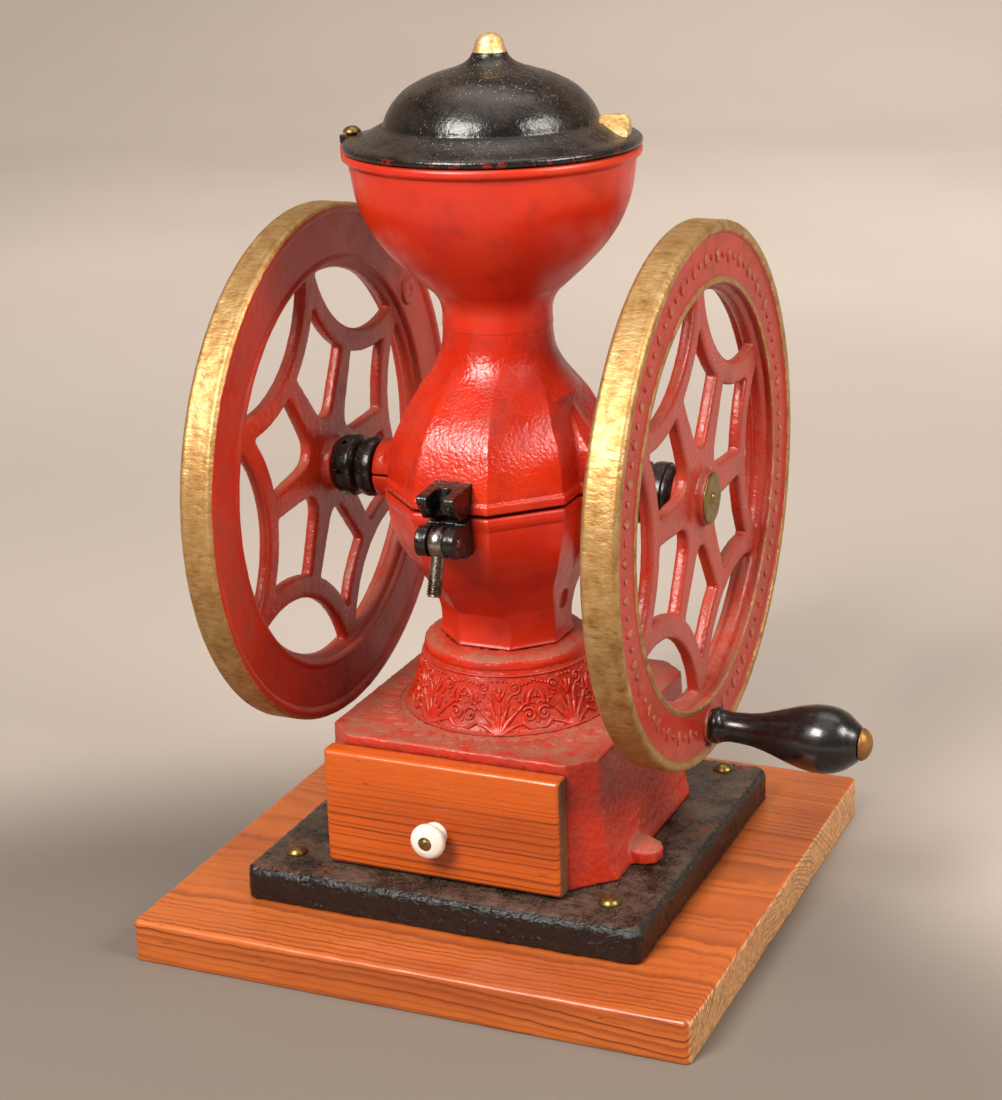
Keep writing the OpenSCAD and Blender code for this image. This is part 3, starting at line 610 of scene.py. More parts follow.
def china(name):
    m = Mat(name, Coat_Weight=0.6, Coat_Roughness=0.05, Specular_IOR_Level=0.6)
    craze = m.step(m.cells(170, feature="DISTANCE_TO_EDGE"), 0.0, 0.02, 1, 0)
    col = m.ramp(m.noise(90, 4), (0.35, "e6e0d2"), (0.65, "f4f1e8"))
    col = m.mix(m.mul(craze, 0.25), col, "b8ab92")
    m.bumps((m.noise(200, 2), 0.08, 0.3))
    return m.out(col, m.step(m.noise(300, 3), 0.3, 0.7, 0.08, 0.18))


def ebony(name):
    m = Mat(name, Specular_IOR_Level=0.5, Coat_Weight=0.35, Coat_Roughness=0.12)
    grain = m.noise(1.0, 4, 0.65, m.stretch(60, 900, 900))
    col = m.ramp(grain, (0.35, "0c0b0b"), (0.7, "1b1715"))
    wear_and_shade = m.mul(m.step(m.noise(90, 5, 0.7), 0.58, 0.7), 0.35)
    col = m.mix(wear_and_shade, col, "3a2f28")
    m.bumps((grain, 0.2, 0.2), (m.noise(45, 2), 0.15, 0.6))
    return m.out(col, m.step(m.noise(200, 4, 0.6), 0.3, 0.7, 0.2, 0.36))


RED = enamel("red_enamel", peel=0.4, dust=0.25, dull=0.28, bump=0.3)
RED_PEEL = enamel("red_enamel_peel", peel=0.0, dust=0.12, dull=0.2, bump=1.0, big=0.05)
RED_SMOOTH = enamel("red_enamel_smooth", peel=0.6, dust=0.1, dull=0.27, bump=0.2)
RED_DUSTY = enamel("red_enamel_dusty", peel=0.1, dust=0.95, dull=0.28, bump=1.0, big=0.3, fog=0.25)
RED_BELL = enamel("red_enamel_relief", peel=0.4, dust=0.5, dull=0.24, bump=0.4, big=0.1)
RED_WEB = enamel("red_enamel_web", peel=0.1, dust=0.6, dull=0.24, deep=0.25, bump=0.9, fog=0.3)
LEAF = gold("gold_leaf", 0.7, ("8f6026", "d3ab6a", "efd7a4"))
BLACK_LID = black("black_enamel_lid", dull=0.17, dust=0.3, bump=0.6, chip=0.85)
BLACK = black("black_enamel", dull=0.2, dust=0.2, bump=0.5)
PLATE = rough_iron("rough_black_iron")
PINE = wood(
    "pine", (-20, -110), 3.0, ("c46526", "68290e", "a84c19", "8f3812"), gloss=0.3, waves=1.4, dust=0.3, end="dba066",
    line=0.9, soft=0.42,
)
PLAIN_PINE = wood("drawer_pine", (20, -60), 3.2, ("b07a44", "8a552a", "98653a", "865a30"), gloss=0.5)
FRONT = wood(
    "drawer_wood", (120, -130), 2.2, ("cc5a12", "2f0e04", "ac460e", "8f360c"), gloss=0.22, waves=0.6, end="6a3a1c",
    calm=(86, 97), soft=0.5,
)
BRASS = plain_metal("aged_brass", ("6e5830", "9a8048"), 0.3, 0.9)
TIP = plain_metal("worn_tip", ("7a4f2a", "b07f45"), 0.4, 0.8, bump=0.5)
STEEL = plain_metal("old_steel", ("5a544d", "a39b90"), 0.2, 1.0, bump=0.35, rust=0.3)
BRIGHT = plain_metal("turned_steel", ("77726a", "a29b90"), 0.24, 1.0, (0.4, 3, 3))
IRON = plain_metal("grinding_iron", ("3b3733", "5d5750"), 0.42, 0.85, bump=0.5, rust=0.35)
CHINA = china("porcelain")
EBONY = ebony("ebonised_wood")


# ---- board and plate


SIDE_POINTS = 60


def rrect(w, d, r, n):
    """A rounded rectangle's outline with n points per corner."""
    pts = []
    for k, (sx, sy) in enumerate(((1, 1), (-1, 1), (-1, -1), (1, -1))):
        cx, cy = sx * (w / 2 - r), sy * (d / 2 - r)
        a = np.linspace(k * TAU / 4, (k + 1) * TAU / 4, n)
        pts.append(np.stack([cx + r * np.cos(a), cy + r * np.sin(a)], -1))
    out = []
    for k in range(4):
        a, b = pts[k], pts[(k + 1) % 4]
        out.append(a)
        s = np.linspace(0, 1, SIDE_POINTS + 2)[1:-1, None]
        out.append(a[-1] * (1 - s) + b[0] * s)
    return np.concatenate(out)


def slab(name, node, corner, edge, mat, rough, cell):
    """A board or plate as nested rings, fine enough to carry a rough surface."""
    lo, hi = box_mm(node)
    w, d = (hi - lo)[:2]
    mid = (lo + hi) / 2
    pad = rough[0] * 0.6
    w, d, z0, z1 = w - 2 * pad, d - 2 * pad, lo[2] + 0.02, hi[2] - pad * 0.4
    rows = [(min(w, d) / 2 - 4, z0), (12, z0), (edge * 0.3, z0)]
    q = np.linspace(0, TAU / 4, 6)
    rows += [(edge * 0.3 * (1 - sin(a)), z0 + edge * 0.3 * (1 - cos(a))) for a in q[1:]]
    rows += [(0, z) for z in np.arange(z0 + edge * 0.3 + cell, z1 - edge, cell)]
    rows += [(edge * (1 - cos(a)), z1 - edge * (1 - sin(a))) for a in q]
    rows += [(i, z1) for i in np.arange(edge + cell, min(w, d) / 2 - 2, cell)]
    P = []
    for inset, z in rows:
        r = max(corner - inset, 0.6)
        o = rrect(w - 2 * inset, d - 2 * inset, r, 12)
        P.append(level(o + mid[:2], z))
    o = roughen(surface(name, np.stack(P), mat), *rough)
    reshape(o, lambda v: np.clip(v, lo + [0, 0, 0.01], hi + [0, 0, 0.3]))
    return place(o, "stand", [node])


slab("board_planed", "wood_board", 4.0, 2.6, PINE, (0.4, 9, 3.0), 2.6)
slab("plate_cast", "sub_plate", 7.0, 5.0, PLATE, (0.6, 3.2, 9.0), 1.2)

# ---- base and bell


TILES = 8  # motifs round the bell
HALF, RISE = 19.6, 30.0  # half a motif's width, and its height, in mm


def relief_marks():
    """Tapered strokes of half a motif: lists of (u, v, half width) in mm."""
    marks = []

    def stroke(points, w0, w1=None, tip=0.25):
        c = curve(points, 0.35)
        t = np.linspace(0, 1, len(c))
        w = w0 + ((w1 or w0) - w0) * t
        swell = np.clip(np.sin(pi * (tip + (1 - tip) * t)), 0, 1) ** 0.6
        marks.append(np.column_stack([c, w * swell + 0.05]))

    def spiral(cx, cy, r0, r1, a0, turns, w):
        t = np.linspace(0, 1, 70)
        r, a = r0 + (r1 - r0) * t, a0 + turns * TAU * t
        marks.append(np.column_stack([cx + r * np.cos(a), cy + r * np.sin(a), w * (1 - 0.35 * t)]))
        marks.append(np.array([[cx, cy, 1.15]]))

    stroke([(0, 0.6), (0, 7), (0, 15)], 2.1, 1.5, 0.3)
    stroke([(0.6, 0.6), (2.4, 8), (5.4, 15.6)], 1.7, 1.2)
    stroke([(1.0, 0.5), (5.0, 6.6), (10.2, 11.6)], 1.7, 1.2)
    stroke([(1.2, 0.3), (7.0, 3.4), (13.0, 5.2)], 1.5, 1.0)
    stroke([(3.2, 12.0), (5.2, 18.0), (8.4, 21.0)], 0.9, 1.1, 0.5)
    spiral(8.6, 23.4, 3.3, 0.9, -1.7, 1.25, 0.95)
    spiral(15.6, 9.0, 3.8, 1.0, 2.4, -1.3, 0.95)
    stroke([(10.2, 11.6), (13.2, 14.4), (17.2, 15.4), (19.6, 14.0)], 0.9, 1.0, 0.5)
    stroke([(12.4, 5.0), (15.4, 2.6), (19.6, 2.2)], 1.2, 0.8, 0.4)
    stroke([(15.0, 15.0), (16.4, 19.5), (19.4, 22.6)], 1.5, 1.0, 0.3)
    stroke([(12.6, 14.4), (12.6, 18.6), (14.6, 22.0)], 1.1, 0.8, 0.3)
    stroke([(0, 17.4), (0, 20.6), (0, 24.0)], 1.6, 1.2, 0.3)
    stroke([(0.8, 18.0), (2.4, 20.6), (3.2, 23.6)], 1.0, 0.8, 0.3)
    for x, y, r in (
        (10.8, 16.4, 1.0), (9.0, 18.2, 0.9), (7.4, 12.6, 0.8), (17.8, 18.2, 0.9), (19.6, 18.6, 1.2), (12.8, 24.6, 1.0),
        (15.2, 25.2, 1.1), (17.6, 25.8, 1.1), (19.6, 26.6, 1.0), (4.2, 26.6, 1.0), (1.6, 26.8, 1.1), (6.4, 1.6, 0.8),
        (9.4, 1.5, 0.7), (19.6, 5.4, 0.9), (4.6, 20.2, 0.7),
    ):
        marks.append(np.array([[x, y, r]]))
    return marks


def bead(d, hw):
    """Rounded ridge profile of half width hw at distance d."""
    return np.sqrt(np.clip(1 - (d / hw) ** 2, 0, 1))


def relief(u, v):
    """Height 0..1 of the motif at the points (u, v) in mm."""
    h = np.zeros_like(u)
    for line in relief_marks():
        for x, y, w in line:
            near = (np.abs(u - x) < w) & (np.abs(v - y) < w)
            if near.any():
                ridge = bead(np.hypot(u[near] - x, v[near] - y), w) * min(1.0, 0.45 + 0.4 * w)
                h[near] = np.maximum(h[near], ridge)
    return h


BELL = [
    (BASE_TOP - 0.6, 56.2, 1), (BASE_TOP + 0.5, 56.0), (BASE_TOP + 1.0, 54.8), (BASE_TOP + 1.4, 53.0, 1),
    (114, 51.3), (118, 49.7), (123, 48.1), (129, 46.5), (135, 44.9), (139.6, 43.5), (141.2, 42.2, 1),
    (142.0, 42.3, 1), (142.6, 43.3), (144.3, 43.6), (146.4, 42.9), (148.0, 41.3), (149.0, 38.8),
    (BELL_TOP, 36.2, 1), (BELL_TOP + 0.02, 33.8, 1),
]
BELL_INSIDE = [(BELL_TOP, 30.5), (145, 30.5), (128, 38), (BASE_TOP - 1.5, 46), (BASE_TOP - 1.5, 55.5)]
RELIEF_Z = BASE_TOP + 1.2, 140.4
MOTIF_TURN = 0.115


def bell_surface():
    """The bell, with the motif standing out from its flank."""
    outer = curve(BELL, 0.3)
    t = around(1200)
    a, r = outer[:, :1], outer[:, 1:]
    row = (a - RELIEF_Z[0]) / (RELIEF_Z[1] - RELIEF_Z[0])
    ok = (row > 0) & (row < 1)
    u = np.abs(((t * TILES / TAU + MOTIF_TURN) % 1.0) * 2 - 1) * HALF
    v = np.clip(row, 0, 1) * RISE
    u2, v2 = np.broadcast_arrays(u, v)
    h = relief(u2, v2) * ok
    h = np.maximum(h, np.maximum(bead(v - 29.3, 0.8), 0.8 * bead(v - 0.2, 0.7)) * ok)
    P = polar(r + 1.8 * h - 0.3 * ok, t, a + 0.5 * h)
    inner = np.array(BELL_INSIDE)
    return surface("bell_relief", np.concatenate([P, polar(inner[:, 1:], t, inner[:, :1])]), RED_BELL, wrap=True)


LEAVES = 44


def top_wreath():
    """Low leaves on the flat top of the base, around the bell."""
    t = around(1440)
    s = np.linspace(0, 1, 34)[:, None]
    r = 57.4 + 12.6 * s
    lean = ((t * LEAVES / TAU) % 1.0 + 0.35 * s) % 1.0 - 0.5
    w = 0.42 * np.sin(np.clip(s * 1.25 - 0.08, 0, 1) * pi) ** 0.8 + 1e-4
    leaf = bead(lean, w) * (1 - 0.4 * np.exp(-((lean / 0.05) ** 2)))
    h = np.maximum(leaf * (s > 0.06) * (s < 0.92), bead(r - 58.2, 0.7) * 0.8)
    rows = [polar(r, t, BASE_TOP - 0.15 + 1.0 * h), polar(r[[-1, 0]], t, BASE_TOP - 2.0)]
    return surface("base_wreath", np.concatenate(rows), RED_DUSTY, wrap=True)


EAR = shifted([(5, 9.6), (8, 9.2), (9.6, 7.6), (10.6, 4.6), (10.9, POINT)], PLATE_TOP)
ears = [lathe("ear", curve(EAR, 0.7), RED, (x, -23, 0), seg=48) for x in (-80.5, 80.5)]
casting("base_cast", "stand", ["base_casting"], RED_DUSTY, 1.0, 5, extra=ears, rough=(0.3, 2.8, 4.0))
place(bell_surface(), "stand")
place(top_wreath(), "stand")


# ---- body

# half widths along y, along x and across the chamfer, by height
LOW = {
    "y": [
        (149.4, 29.4), (160, 29.6), (167, 31.4), (174, 37), (183, 46), (192, 53.2), (201, 59), (211, 63), (221, 64.6),
        (231.2, 64.8),
    ],
    "x": [(149.4, 31.6), (162, 31.8), (172, 33), (183, 35.8), (197, 41.6), (212, 46), (222, 47.6), (231.2, 47.8)],
    "d": [
        (149.4, 30.6), (162, 31.2), (170, 33.2), (176, 37), (183, 41.4), (197, 51.2), (205, 55.6), (212, 58),
        (222, 59.6), (231.2, 59.8),
    ],
}
HIGH = {
    "y": [
        (232.6, 64.8), (240, 64.4), (248, 62.8), (255, 60.6), (264, 57), (272, 52), (281, 44.8), (287, 39.2),
        (293, 33.6), (299, 29.6), (304, 27.7),
    ],
    "x": [
        (232.6, 47.8), (240, 47.6), (247, 47), (253, 46), (260, 44.4), (268, 41), (276, 37.8), (284, 34), (294, 29.8),
        (304, 27.4),
    ],
    "d": [
        (232.6, 59.6), (240, 59.2), (247, 58.2), (254, 56.6), (262, 53.6), (270, 49.6), (277, 45), (285, 39),
        (293, 33.4), (304, 27.7),
    ],
}


def ring8(X, Y, D, n=10):
    """An eight-sided ring with n points per side."""
    k = sqrt(2) * D
    a = (X, max(0.5, min(k - X, Y)))
    b = (max(0.5, min(k - Y, X)), Y)
    c = [a, b, (-b[0], b[1]), (-a[0], a[1]), (-a[0], -a[1]), (-b[0], -b[1]), (b[0], -b[1]), (a[0], -a[1])]
    out = []
    for i in range(8):
        p, q = np.array(c[i]), np.array(c[(i + 1) % 8])
        s = np.arange(n)[:, None] / n
        out.append(p * (1 - s) + q * s)
    return np.concatenate(out)


WALL = 3.5


def hull_wall(name, tab, z0, z1, swell):
    """An open eight-sided shell: the outside rows up, then the inside rows down."""
    zs = np.arange(z0, z1 + 0.01, (z1 - z0) / round((z1 - z0) / 0.7))
    prof = {k: hermite([p[0] for p in v], zs, [p[1] for p in v]) for k, v in tab.items()}

    def row(i, by):
        return level(ring8(*(prof[k][i] + by for k in "xyd")), zs[i])

    rows = [row(i, swell(z)) for i, z in enumerate(zs)]
    rows += [row(i, -WALL) for i in range(len(zs) - 1, -1, -2)]
    return surface(name, np.stack(rows), RED, wrap=True)


def swell_low(z):
    """The lip under the joint, a scribed line, and a flare at the foot."""
    up = abs(z - 228.3) / 2.9
    lip = 1.15 * (1 - up**2) ** 0.5 if up < 1 else 0.0
    dip = -0.5 * exp(-(((z - 224.9) / 0.45) ** 2))
    flare = 1.6 * ((153.0 - z) / 3.6) ** 2 if z < 153 else 0.0
    return 0.25 + lip + dip + flare


def swell_high(z):
    """The lip over the joint and a scribed line."""
    lip = 1.25 if z < 236.6 else 0.0
    if 236.6 <= z < 238.1:
        lip = 1.25 * (1 - ((z - 236.6) / 1.5) ** 2) ** 0.5
    if z < 233.4:
        lip = 1.25 * (1 - (233.4 - z) ** 2 * 0.5)
    dip = -0.45 * exp(-(((z - 238.5) / 0.45) ** 2))
    return 0.25 + lip + dip


def rod(name, p, axis, r, half):
    return lathe(name, [(-half, r), (half, r)], RED, p, axis, 64)


def arch(side, up):
    """Smooth fairing that runs from the flat of the body down to the bearing boss."""
    hs = np.linspace(0, 45.5, 40)
    ridges = hermite([0, 12, 18, 26, 33, 40, 46], hs, [60, 59.4, 57, 51, 45.6, 40.4, 36.6])
    s = np.linspace(-1, 1, 21)
    rows = []
    for h, ridge in zip(hs, ridges):
        w = 15.0 * (1 - (h / 46.0) ** 2.1) ** 0.9 + 0.15
        x = 34 + (ridge - 34) * (1 - np.abs(s) ** 2.4)
        line = np.column_stack([x, s * w, np.full(21, h)])
        back = np.column_stack([np.full(9, 32.0), np.linspace(w, -w, 9), np.full(9, h)])
        rows.append(np.concatenate([line, back]))
    P = np.stack(rows)
    P[..., 0] *= side
    P[..., 2] = SHAFT_Z + up * (P[..., 2] + (0.6 if up > 0 else 0.9))
    return surface("arch", P, RED)


low_wall = hull_wall("low_wall", LOW, BELL_TOP + 0.05, LOW_TOP, swell_low)
cut(low_wall, rod("bore", (0, 0, SHAFT_Z), "x", BEARING_LOW, 90))
cut(low_wall, rod("port", (45, -2, 170.5), "x", 5.2, 14))
casting("lower_body", "stand", ["lower_shell"], RED_SMOOTH, 0.75, 3,
        extra=[low_wall, arch(1, -1), arch(-1, -1)], rough=(0.1, 9, 2.0))
high_wall = hull_wall("high_wall", HIGH, HIGH_FOOT, NECK_TOP, swell_high)
cut(high_wall, rod("bore", (0, 0, SHAFT_Z), "x", BEARING_HIGH, 90))


def round_neck(co):
    """Lets the facets fade into the round neck."""
    z, r = co[:, 2], np.hypot(co[:, 0], co[:, 1])
    heights, radii = [270, 276, 283, 290, 297, 303, 309, 314], [53.2, 47.2, 40.6, 34.9, 30.8, 28.7, 27.9, 27.7]
    neck = hermite(heights, z, radii)
    t = np.clip((z - 268) / 33, 0, 1)
    t = t * t * (3 - 2 * t)
    new = np.where((z > 268) & (r > 24.4), r + (neck - r) * t, r)
    scale = new / np.maximum(r, 1e-6)
    return np.column_stack([co[:, 0] * scale, co[:, 1] * scale, z])


SLEEVE = [(300, 23.2), (300, 27.2), (315.6, 27.7), (315.6, 23.2), (300, 23.2)]
sleeve = lathe("sleeve", SLEEVE, RED, seg=96, wrap=True)
casting("upper_body", "hopper_unit", ["upper_shell"], RED_PEEL, 0.75, 3,
        extra=[high_wall, sleeve, arch(1, 1), arch(-1, 1)], rough=(0.06, 5, 6.0), move=round_neck)


# ---- hopper and lid

px, py = [float(v) for v in np.mean(np.array(box_mm("lid_pivot_screw")), 0)[:2]]
BOWL = [
    (313.3, 22.6, 1), (313.3, 27.95, 1), (315, 27.85), (318, 27.7), (322, 27.9), (326, 29.0), (330, 31.4),
    (334.4, 36.2), (343, 45.5), (353, 55), (364, 62.5), (376, 67.5), (388, 69.8), (395.6, 70.6, 1), (396.4, 71.2, 1),
    (396.9, 72.6), (398.2, 73.4), (400.2, 73.4), (401.3, 72.6), (401.6, 71.6, 1), (401.6, 67.4, 1),
    (396, 66.8), (388.6, 65.8), (377.6, 63.6), (366.6, 58.8), (356, 51.8), (346.4, 42.5), (338.2, 33.4),
    (332.8, 27.6), (328, 24.2), (322, 22.8), (313.3, 22.6),
]
bowl = lathe("bowl", curve(BOWL, 0.9), RED, seg=256, wrap=True)
BOSS = [(391.0, 0.01), (391.4, 3), (393, 5.4), (395.4, 6.3), (401.5, 6.3)]
boss = lathe("boss", BOSS, RED, (px, py, 0), seg=48)
place(joined("hopper_bowl", [bowl, boss], RED), "hopper_unit", ["hopper"])

lz = float(box_mm("lid")[0][2])
LID = [
    (0, 73.2, 1), (0.6, 73.6), (2.2, 73.7), (3.4, 73.0), (4.1, 71.4), (5.4, 66.5), (7.3, 62), (9.6, 57.8),
    (11.0, 54.8, 1), (10.5, 54.1, 1), (10.9, 53.5, 1), (13.2, 52.9), (17.2, 51.2), (22, 48.0), (27.6, 42.4),
    (31.6, 35.6), (34.6, 28.6), (36.6, 22), (38.3, 16.6), (40.4, 12.2), (42.8, 9.6), (45.4, 8.3, 1),
    (45.4, POINT, 1), (36.6, POINT), (35.6, 8), (32.6, 22), (26.6, 38), (17.4, 47.6), (9.4, 50.6),
    (3.6, 62), (1.2, 69), (0, 71.6),
]
lid_shell = lathe("lid_shell", curve(shifted(LID, lz), 0.8), BLACK_LID, seg=256, wrap=True)
ang = atan2(py, px)
arc = [(px, py, 6.4, a) for a in np.linspace(-1.35, 1.35, 24)]
arc += [(0, 0, 71, a) for a in np.linspace(0.24, -0.24, 12)]
arc = np.array([(x + r * cos(ang + a), y + r * sin(ang + a)) for x, y, r, a in arc])
ear = surface("ear", np.stack([level(arc, lz + h) for h in (0.1, 4.4)]), BLACK_LID, angle=30)
for part in (ear, lid_shell):
    cut(part, rod("pin_hole", (px, py, lz), "z", LID_PIN_HOLE, 12))
place(roughen(fused("lid_cast", [lid_shell, ear], BLACK_LID, 0.62, 3), 0.08, 4.0), "lid_unit", ["lid"])

KNOB = [(-2.6, 8.7), (-0.4, 8.35), (0.6, 8.0), (3, 7.3), (5.6, 6.4), (7.2, 5.4), (8.4, 3.6), (8.95, 1.4), (9.0, POINT)]
KNOB_SINK = 0.2  # keeps the roughened tip inside its CAD box
tip = lathe("lid_tip_gold", curve(shifted(KNOB, float(box_mm("lid_knob")[0][2]) - KNOB_SINK), 0.4), LEAF, seg=96)
place(roughen(tip, 0.16, 2.6), "lid_unit", ["lid_knob"])


def thumb():
    """A scoop on the lid's brim: pointed at the dome, wide and cut off at the rim."""
    along = np.linspace(0, 1, 46)
    a = np.linspace(0, pi, 44)
    stations = [0, 0.08, 0.25, 0.5, 0.75, 0.92, 1]
    feet = hermite([0, 0.15, 0.3, 0.5, 1], along, [412.4, 410.4, 408.2, 406.0, 403.8])
    halves = hermite(stations, along, [0.6, 2.8, 6.0, 8.8, 10.2, 10.3, 9.4])
    tops = hermite(stations, along, [413.0, 414.0, 415.6, 416.9, 417.0, 416.2, 414.2])
    rows = []
    for s, foot, half, top in zip(along, feet, halves, tops):
        y = half * np.cos(a)
        roof = np.minimum((half + y) / (1.45 * half), (half - y) / (0.55 * half))
        z = foot + (top - foot) * np.clip(roof, 0, 1) ** 0.8
        rows.append(np.column_stack([np.full(44, 46.6 + 21.4 * s), y, z]))
    P = np.stack(rows)
    t = radians(10)
    x, y = P[..., 0].copy(), P[..., 1].copy()
    P[..., 0], P[..., 1] = x * cos(t) - y * sin(t), x * sin(t) + y * cos(t)
    return roughen(surface("thumb_scoop", P, LEAF), 0.4, 1.8)


place(thumb(), "lid_unit", ["thumb_tab"])

# ---- wheels


STUDS = 84
STUD_RADIUS = 119.6
STUD_FORMS = ((4.1, 2.7, 1.3), (1.7, 1.7, 2))  # lozenge and pearl: length, width, squareness
STUD_DOME = ((1.0, -0.8), (0.96, 0.25), (0.84, 0.75), (0.6, 0.98), (0.3, 1.05))
STUD_GAP = 0.13  # half the angle left free beside the crank's pad


def stud(a, form, x, side):
    """A raised lozenge or pearl at the angle a on the outer face."""
    ln, wd, sq = form
    b = around(20)
    grow = (np.abs(np.cos(b)) ** sq + np.abs(np.sin(b)) ** sq) ** (-1 / sq)
    rows = []
    for q, e in STUD_DOME:
        r = STUD_RADIUS + ln * q * grow * np.cos(b)
        t = wd * q * grow * np.sin(b)
        y, z = r * cos(a) - t * sin(a), r * sin(a) + t * cos(a)
        rows.append(np.column_stack([np.full(20, x + side * e), y, SHAFT_Z + z]))
    return surface("stud", np.stack(rows), RED)


def rim_piece(name, node, side, pad_at, pad_radius, pad_width, studs):
    """A rim with a round pad on each face, at an angle in degrees and a radius from the shaft."""
    lo, hi = box_mm(node)
    c = (lo[0] + hi[0]) / 2
    h, R = (hi[0] - lo[0]) / 2, (hi[2] - lo[2]) / 2
    face = [
        (-h + 3.4, 105.6), (-h + 1.6, 105.9), (-h + 0.9, 107.2), (-h + 1.5, 108.8), (-h + 2.0, 109.8, 1),
        (-h + 1.9, R - 6.6, 1), (-h + 0.8, R - 5.4), (-h + 0.1, R - 4.6), (-h, R - 3.6), (-h + 0.3, R - 1.4),
        (-h + 1.6, R - 0.15),
    ]
    other = shifted(reversed(face), 0, -1)[:-1]
    prof = curve(face + [(-4, R), (4, R)] + other + [(h - 3.4, 105.6, 1), (-h + 3.4, 105.6)], 0.7)
    parts = [on_shaft("ring", prof * [side, 1], RED, 360, c, wrap=True)]
    at, w = radians(pad_at), pad_width
    foot = (0, pad_radius * cos(at), SHAFT_Z + pad_radius * sin(at))
    bores = (CRANK_HOLE, CRANK_HOLE if side > 0 else POINT)
    for end, proud, bore in zip((side, -side), (0.45, 0.65), bores):
        pad = [(3, w + 0.8), (1.2, w + 0.3), (0.3, w), (0, w - 0.7), (0, bore), (3, bore)]
        parts.append(lathe("pad", shifted(pad, c + end * (h - proud), -end), RED, foot, "x", 64, wrap=True))
    for k in range(STUDS if studs else 0):
        a = at + TAU * (k + 0.5) / STUDS
        if abs((a - at + pi) % TAU - pi) >= STUD_GAP:
            parts.append(stud(a, STUD_FORMS[k % 2], c + side * (h - 2.15), side))
    o = joined(name, parts, wheel_paint(name + "_paint", node, side))
    return place(roughen(o, 0.12, 6.0, 3.0), "rotor", [node])


rim_piece("right_wheel_rim", "right_rim", 1, 270, 121.0, 9.5, True)
rim_piece("left_wheel_rim", "left_rim", -1, 38, 118.5, 7.5, False)

FILLET = [(5.0, 107.2, 1), (4.4, 105.8), (3.4, 104.8), (2.6, 103.4), (1.4, 102.8)]


def web(side, node):
    """The pierced web, softened, with a fillet that runs into the rim."""
    c = float(np.mean([b[0] for b in box_mm(side + "_rim")]))
    ring = shifted(FILLET, 0, -1) + FILLET[::-1] + [(-5.0, 107.2)]
    fillet = on_shaft("fillet", curve(ring, 0.8), RED, 300, c, wrap=True)
    name, rough = side + "_wheel_web", (0.12, 4, 1.0 + c)
    casting(name, "rotor", [node], RED_WEB, 0.8, 16, extra=[fillet], rough=rough, grow=0.35)


web("right", "right_web")
web("left", "left_web")

HUB = [(0, 13.0, 1), (0.5, 13.0), (0.9, 12.4), (1.15, 11.0), (1.2, 4.0), (1.4, 3.2), (1.9, 2.8)]
for n, side in (("right_hub_cap", 1), ("left_hub_cap", -1)):
    lo, hi = (b[0] for b in box_mm(n))
    tall = hi - lo
    prof = curve(shifted(HUB + [(tall - 0.1, 1.6), (tall, POINT)], lo if side > 0 else hi, side), 0.35)
    place(roughen(on_shaft(n + "_turned", prof, BRASS, 96), 0.08, 3.0), "rotor", [n])

COLLARS = {
    "thrust_collar": [
        (94.8, SHAFT_BORE, 1), (94.8, 12.4), (93.6, 13.8), (91.4, 14.8), (90.6, 14.9, 1), (90.2, 15.7),
        (88.4, 15.9), (84.6, 15.9), (83.0, 15.5), (82.0, 14.2), (81.2, 13.5, 1), (80.4, 13.5, 1),
        (79.6, 14.8), (78.4, 15.8), (76, 16.0), (71, 16.0), (69.4, 15.6), (68.6, 14.4, 1),
        (68.6, SHAFT_BORE, 1), (94.8, SHAFT_BORE),
    ],
    "lock_collar": [
        (-68.6, SHAFT_BORE, 1), (-68.6, 13.2), (-69.4, 14.9), (-71.4, 15.6), (-75.6, 15.6), (-77.4, 15.0),
        (-78.6, 13.9), (-79.2, 13.4, 1), (-79.2, SHAFT_BORE, 1), (-68.6, SHAFT_BORE),
    ],
}
for n, prof in COLLARS.items():
    place(on_shaft(n + "_turned", curve(prof, 0.5), BLACK, 128, wrap=True), "rotor", [n])

# ---- handle

hx, hz = float(box_mm("handle_grip")[0][0]), float(np.mean([b[2] for b in box_mm("handle_grip")]))
GRIP = [
    (0, GRIP_HOLE, 1), (0, 8.4, 1), (0.7, 9.3), (2.2, 9.5), (3.8, 9.2), (4.8, 8.6, 1), (5.1, 8.2, 1),
    (5.5, 8.4, 1), (8, 7.9), (14, 7.85), (20, 8.35), (26, 9.6), (32, 11.4), (38, 13.4), (44, 15.3),
    (50, 16.7), (56, 17.35), (61, 17.1), (66, 15.9), (70, 13.9), (73.4, 11.2), (75.6, 9.4), (76.4, 8.6, 1),
    (76.4, GRIP_HOLE, 1), (0, GRIP_HOLE),
]
grip = lathe("grip_turned", curve(GRIP, 0.6) + [hx, 0], EBONY, (0, 0, hz), "x", 144, wrap=True)
place(roughen(grip, 0.08, 14.0), "grip", ["handle_grip"])
tx = float(box_mm("handle_tip")[0][0])
CAP = [(0, POINT, 1), (0, 8.2, 1), (0.7, 8.3), (1.4, 8.0), (2.6, 7.1), (4, 5.4), (5.1, 3.0), (5.6, POINT)]
cap = lathe("grip_cap_brass", curve(CAP, 0.3) + [tx, 0], TIP, (0, 0, hz), "x", 96)
place(cap, "rotor", ["handle_tip"])

# ---- clamp and swing bolt

casting("clamp_fork_forged", "hopper_unit", ["clamp_lug"], BLACK, 0.4, 4, rough=(0.2, 4, 2.0))
casting("clamp_eyes_forged", "stand", ["clamp_bracket"], BLACK, 0.4, 4, rough=(0.15, 4, 4.0))
casting("hinge_eyes_cast", "stand", ["rear_hinge_bracket"], BLACK, 0.5, 3)
casting("hinge_tongue_cast", "hopper_unit", ["rear_hinge_lug"], BLACK, 0.45, 3)

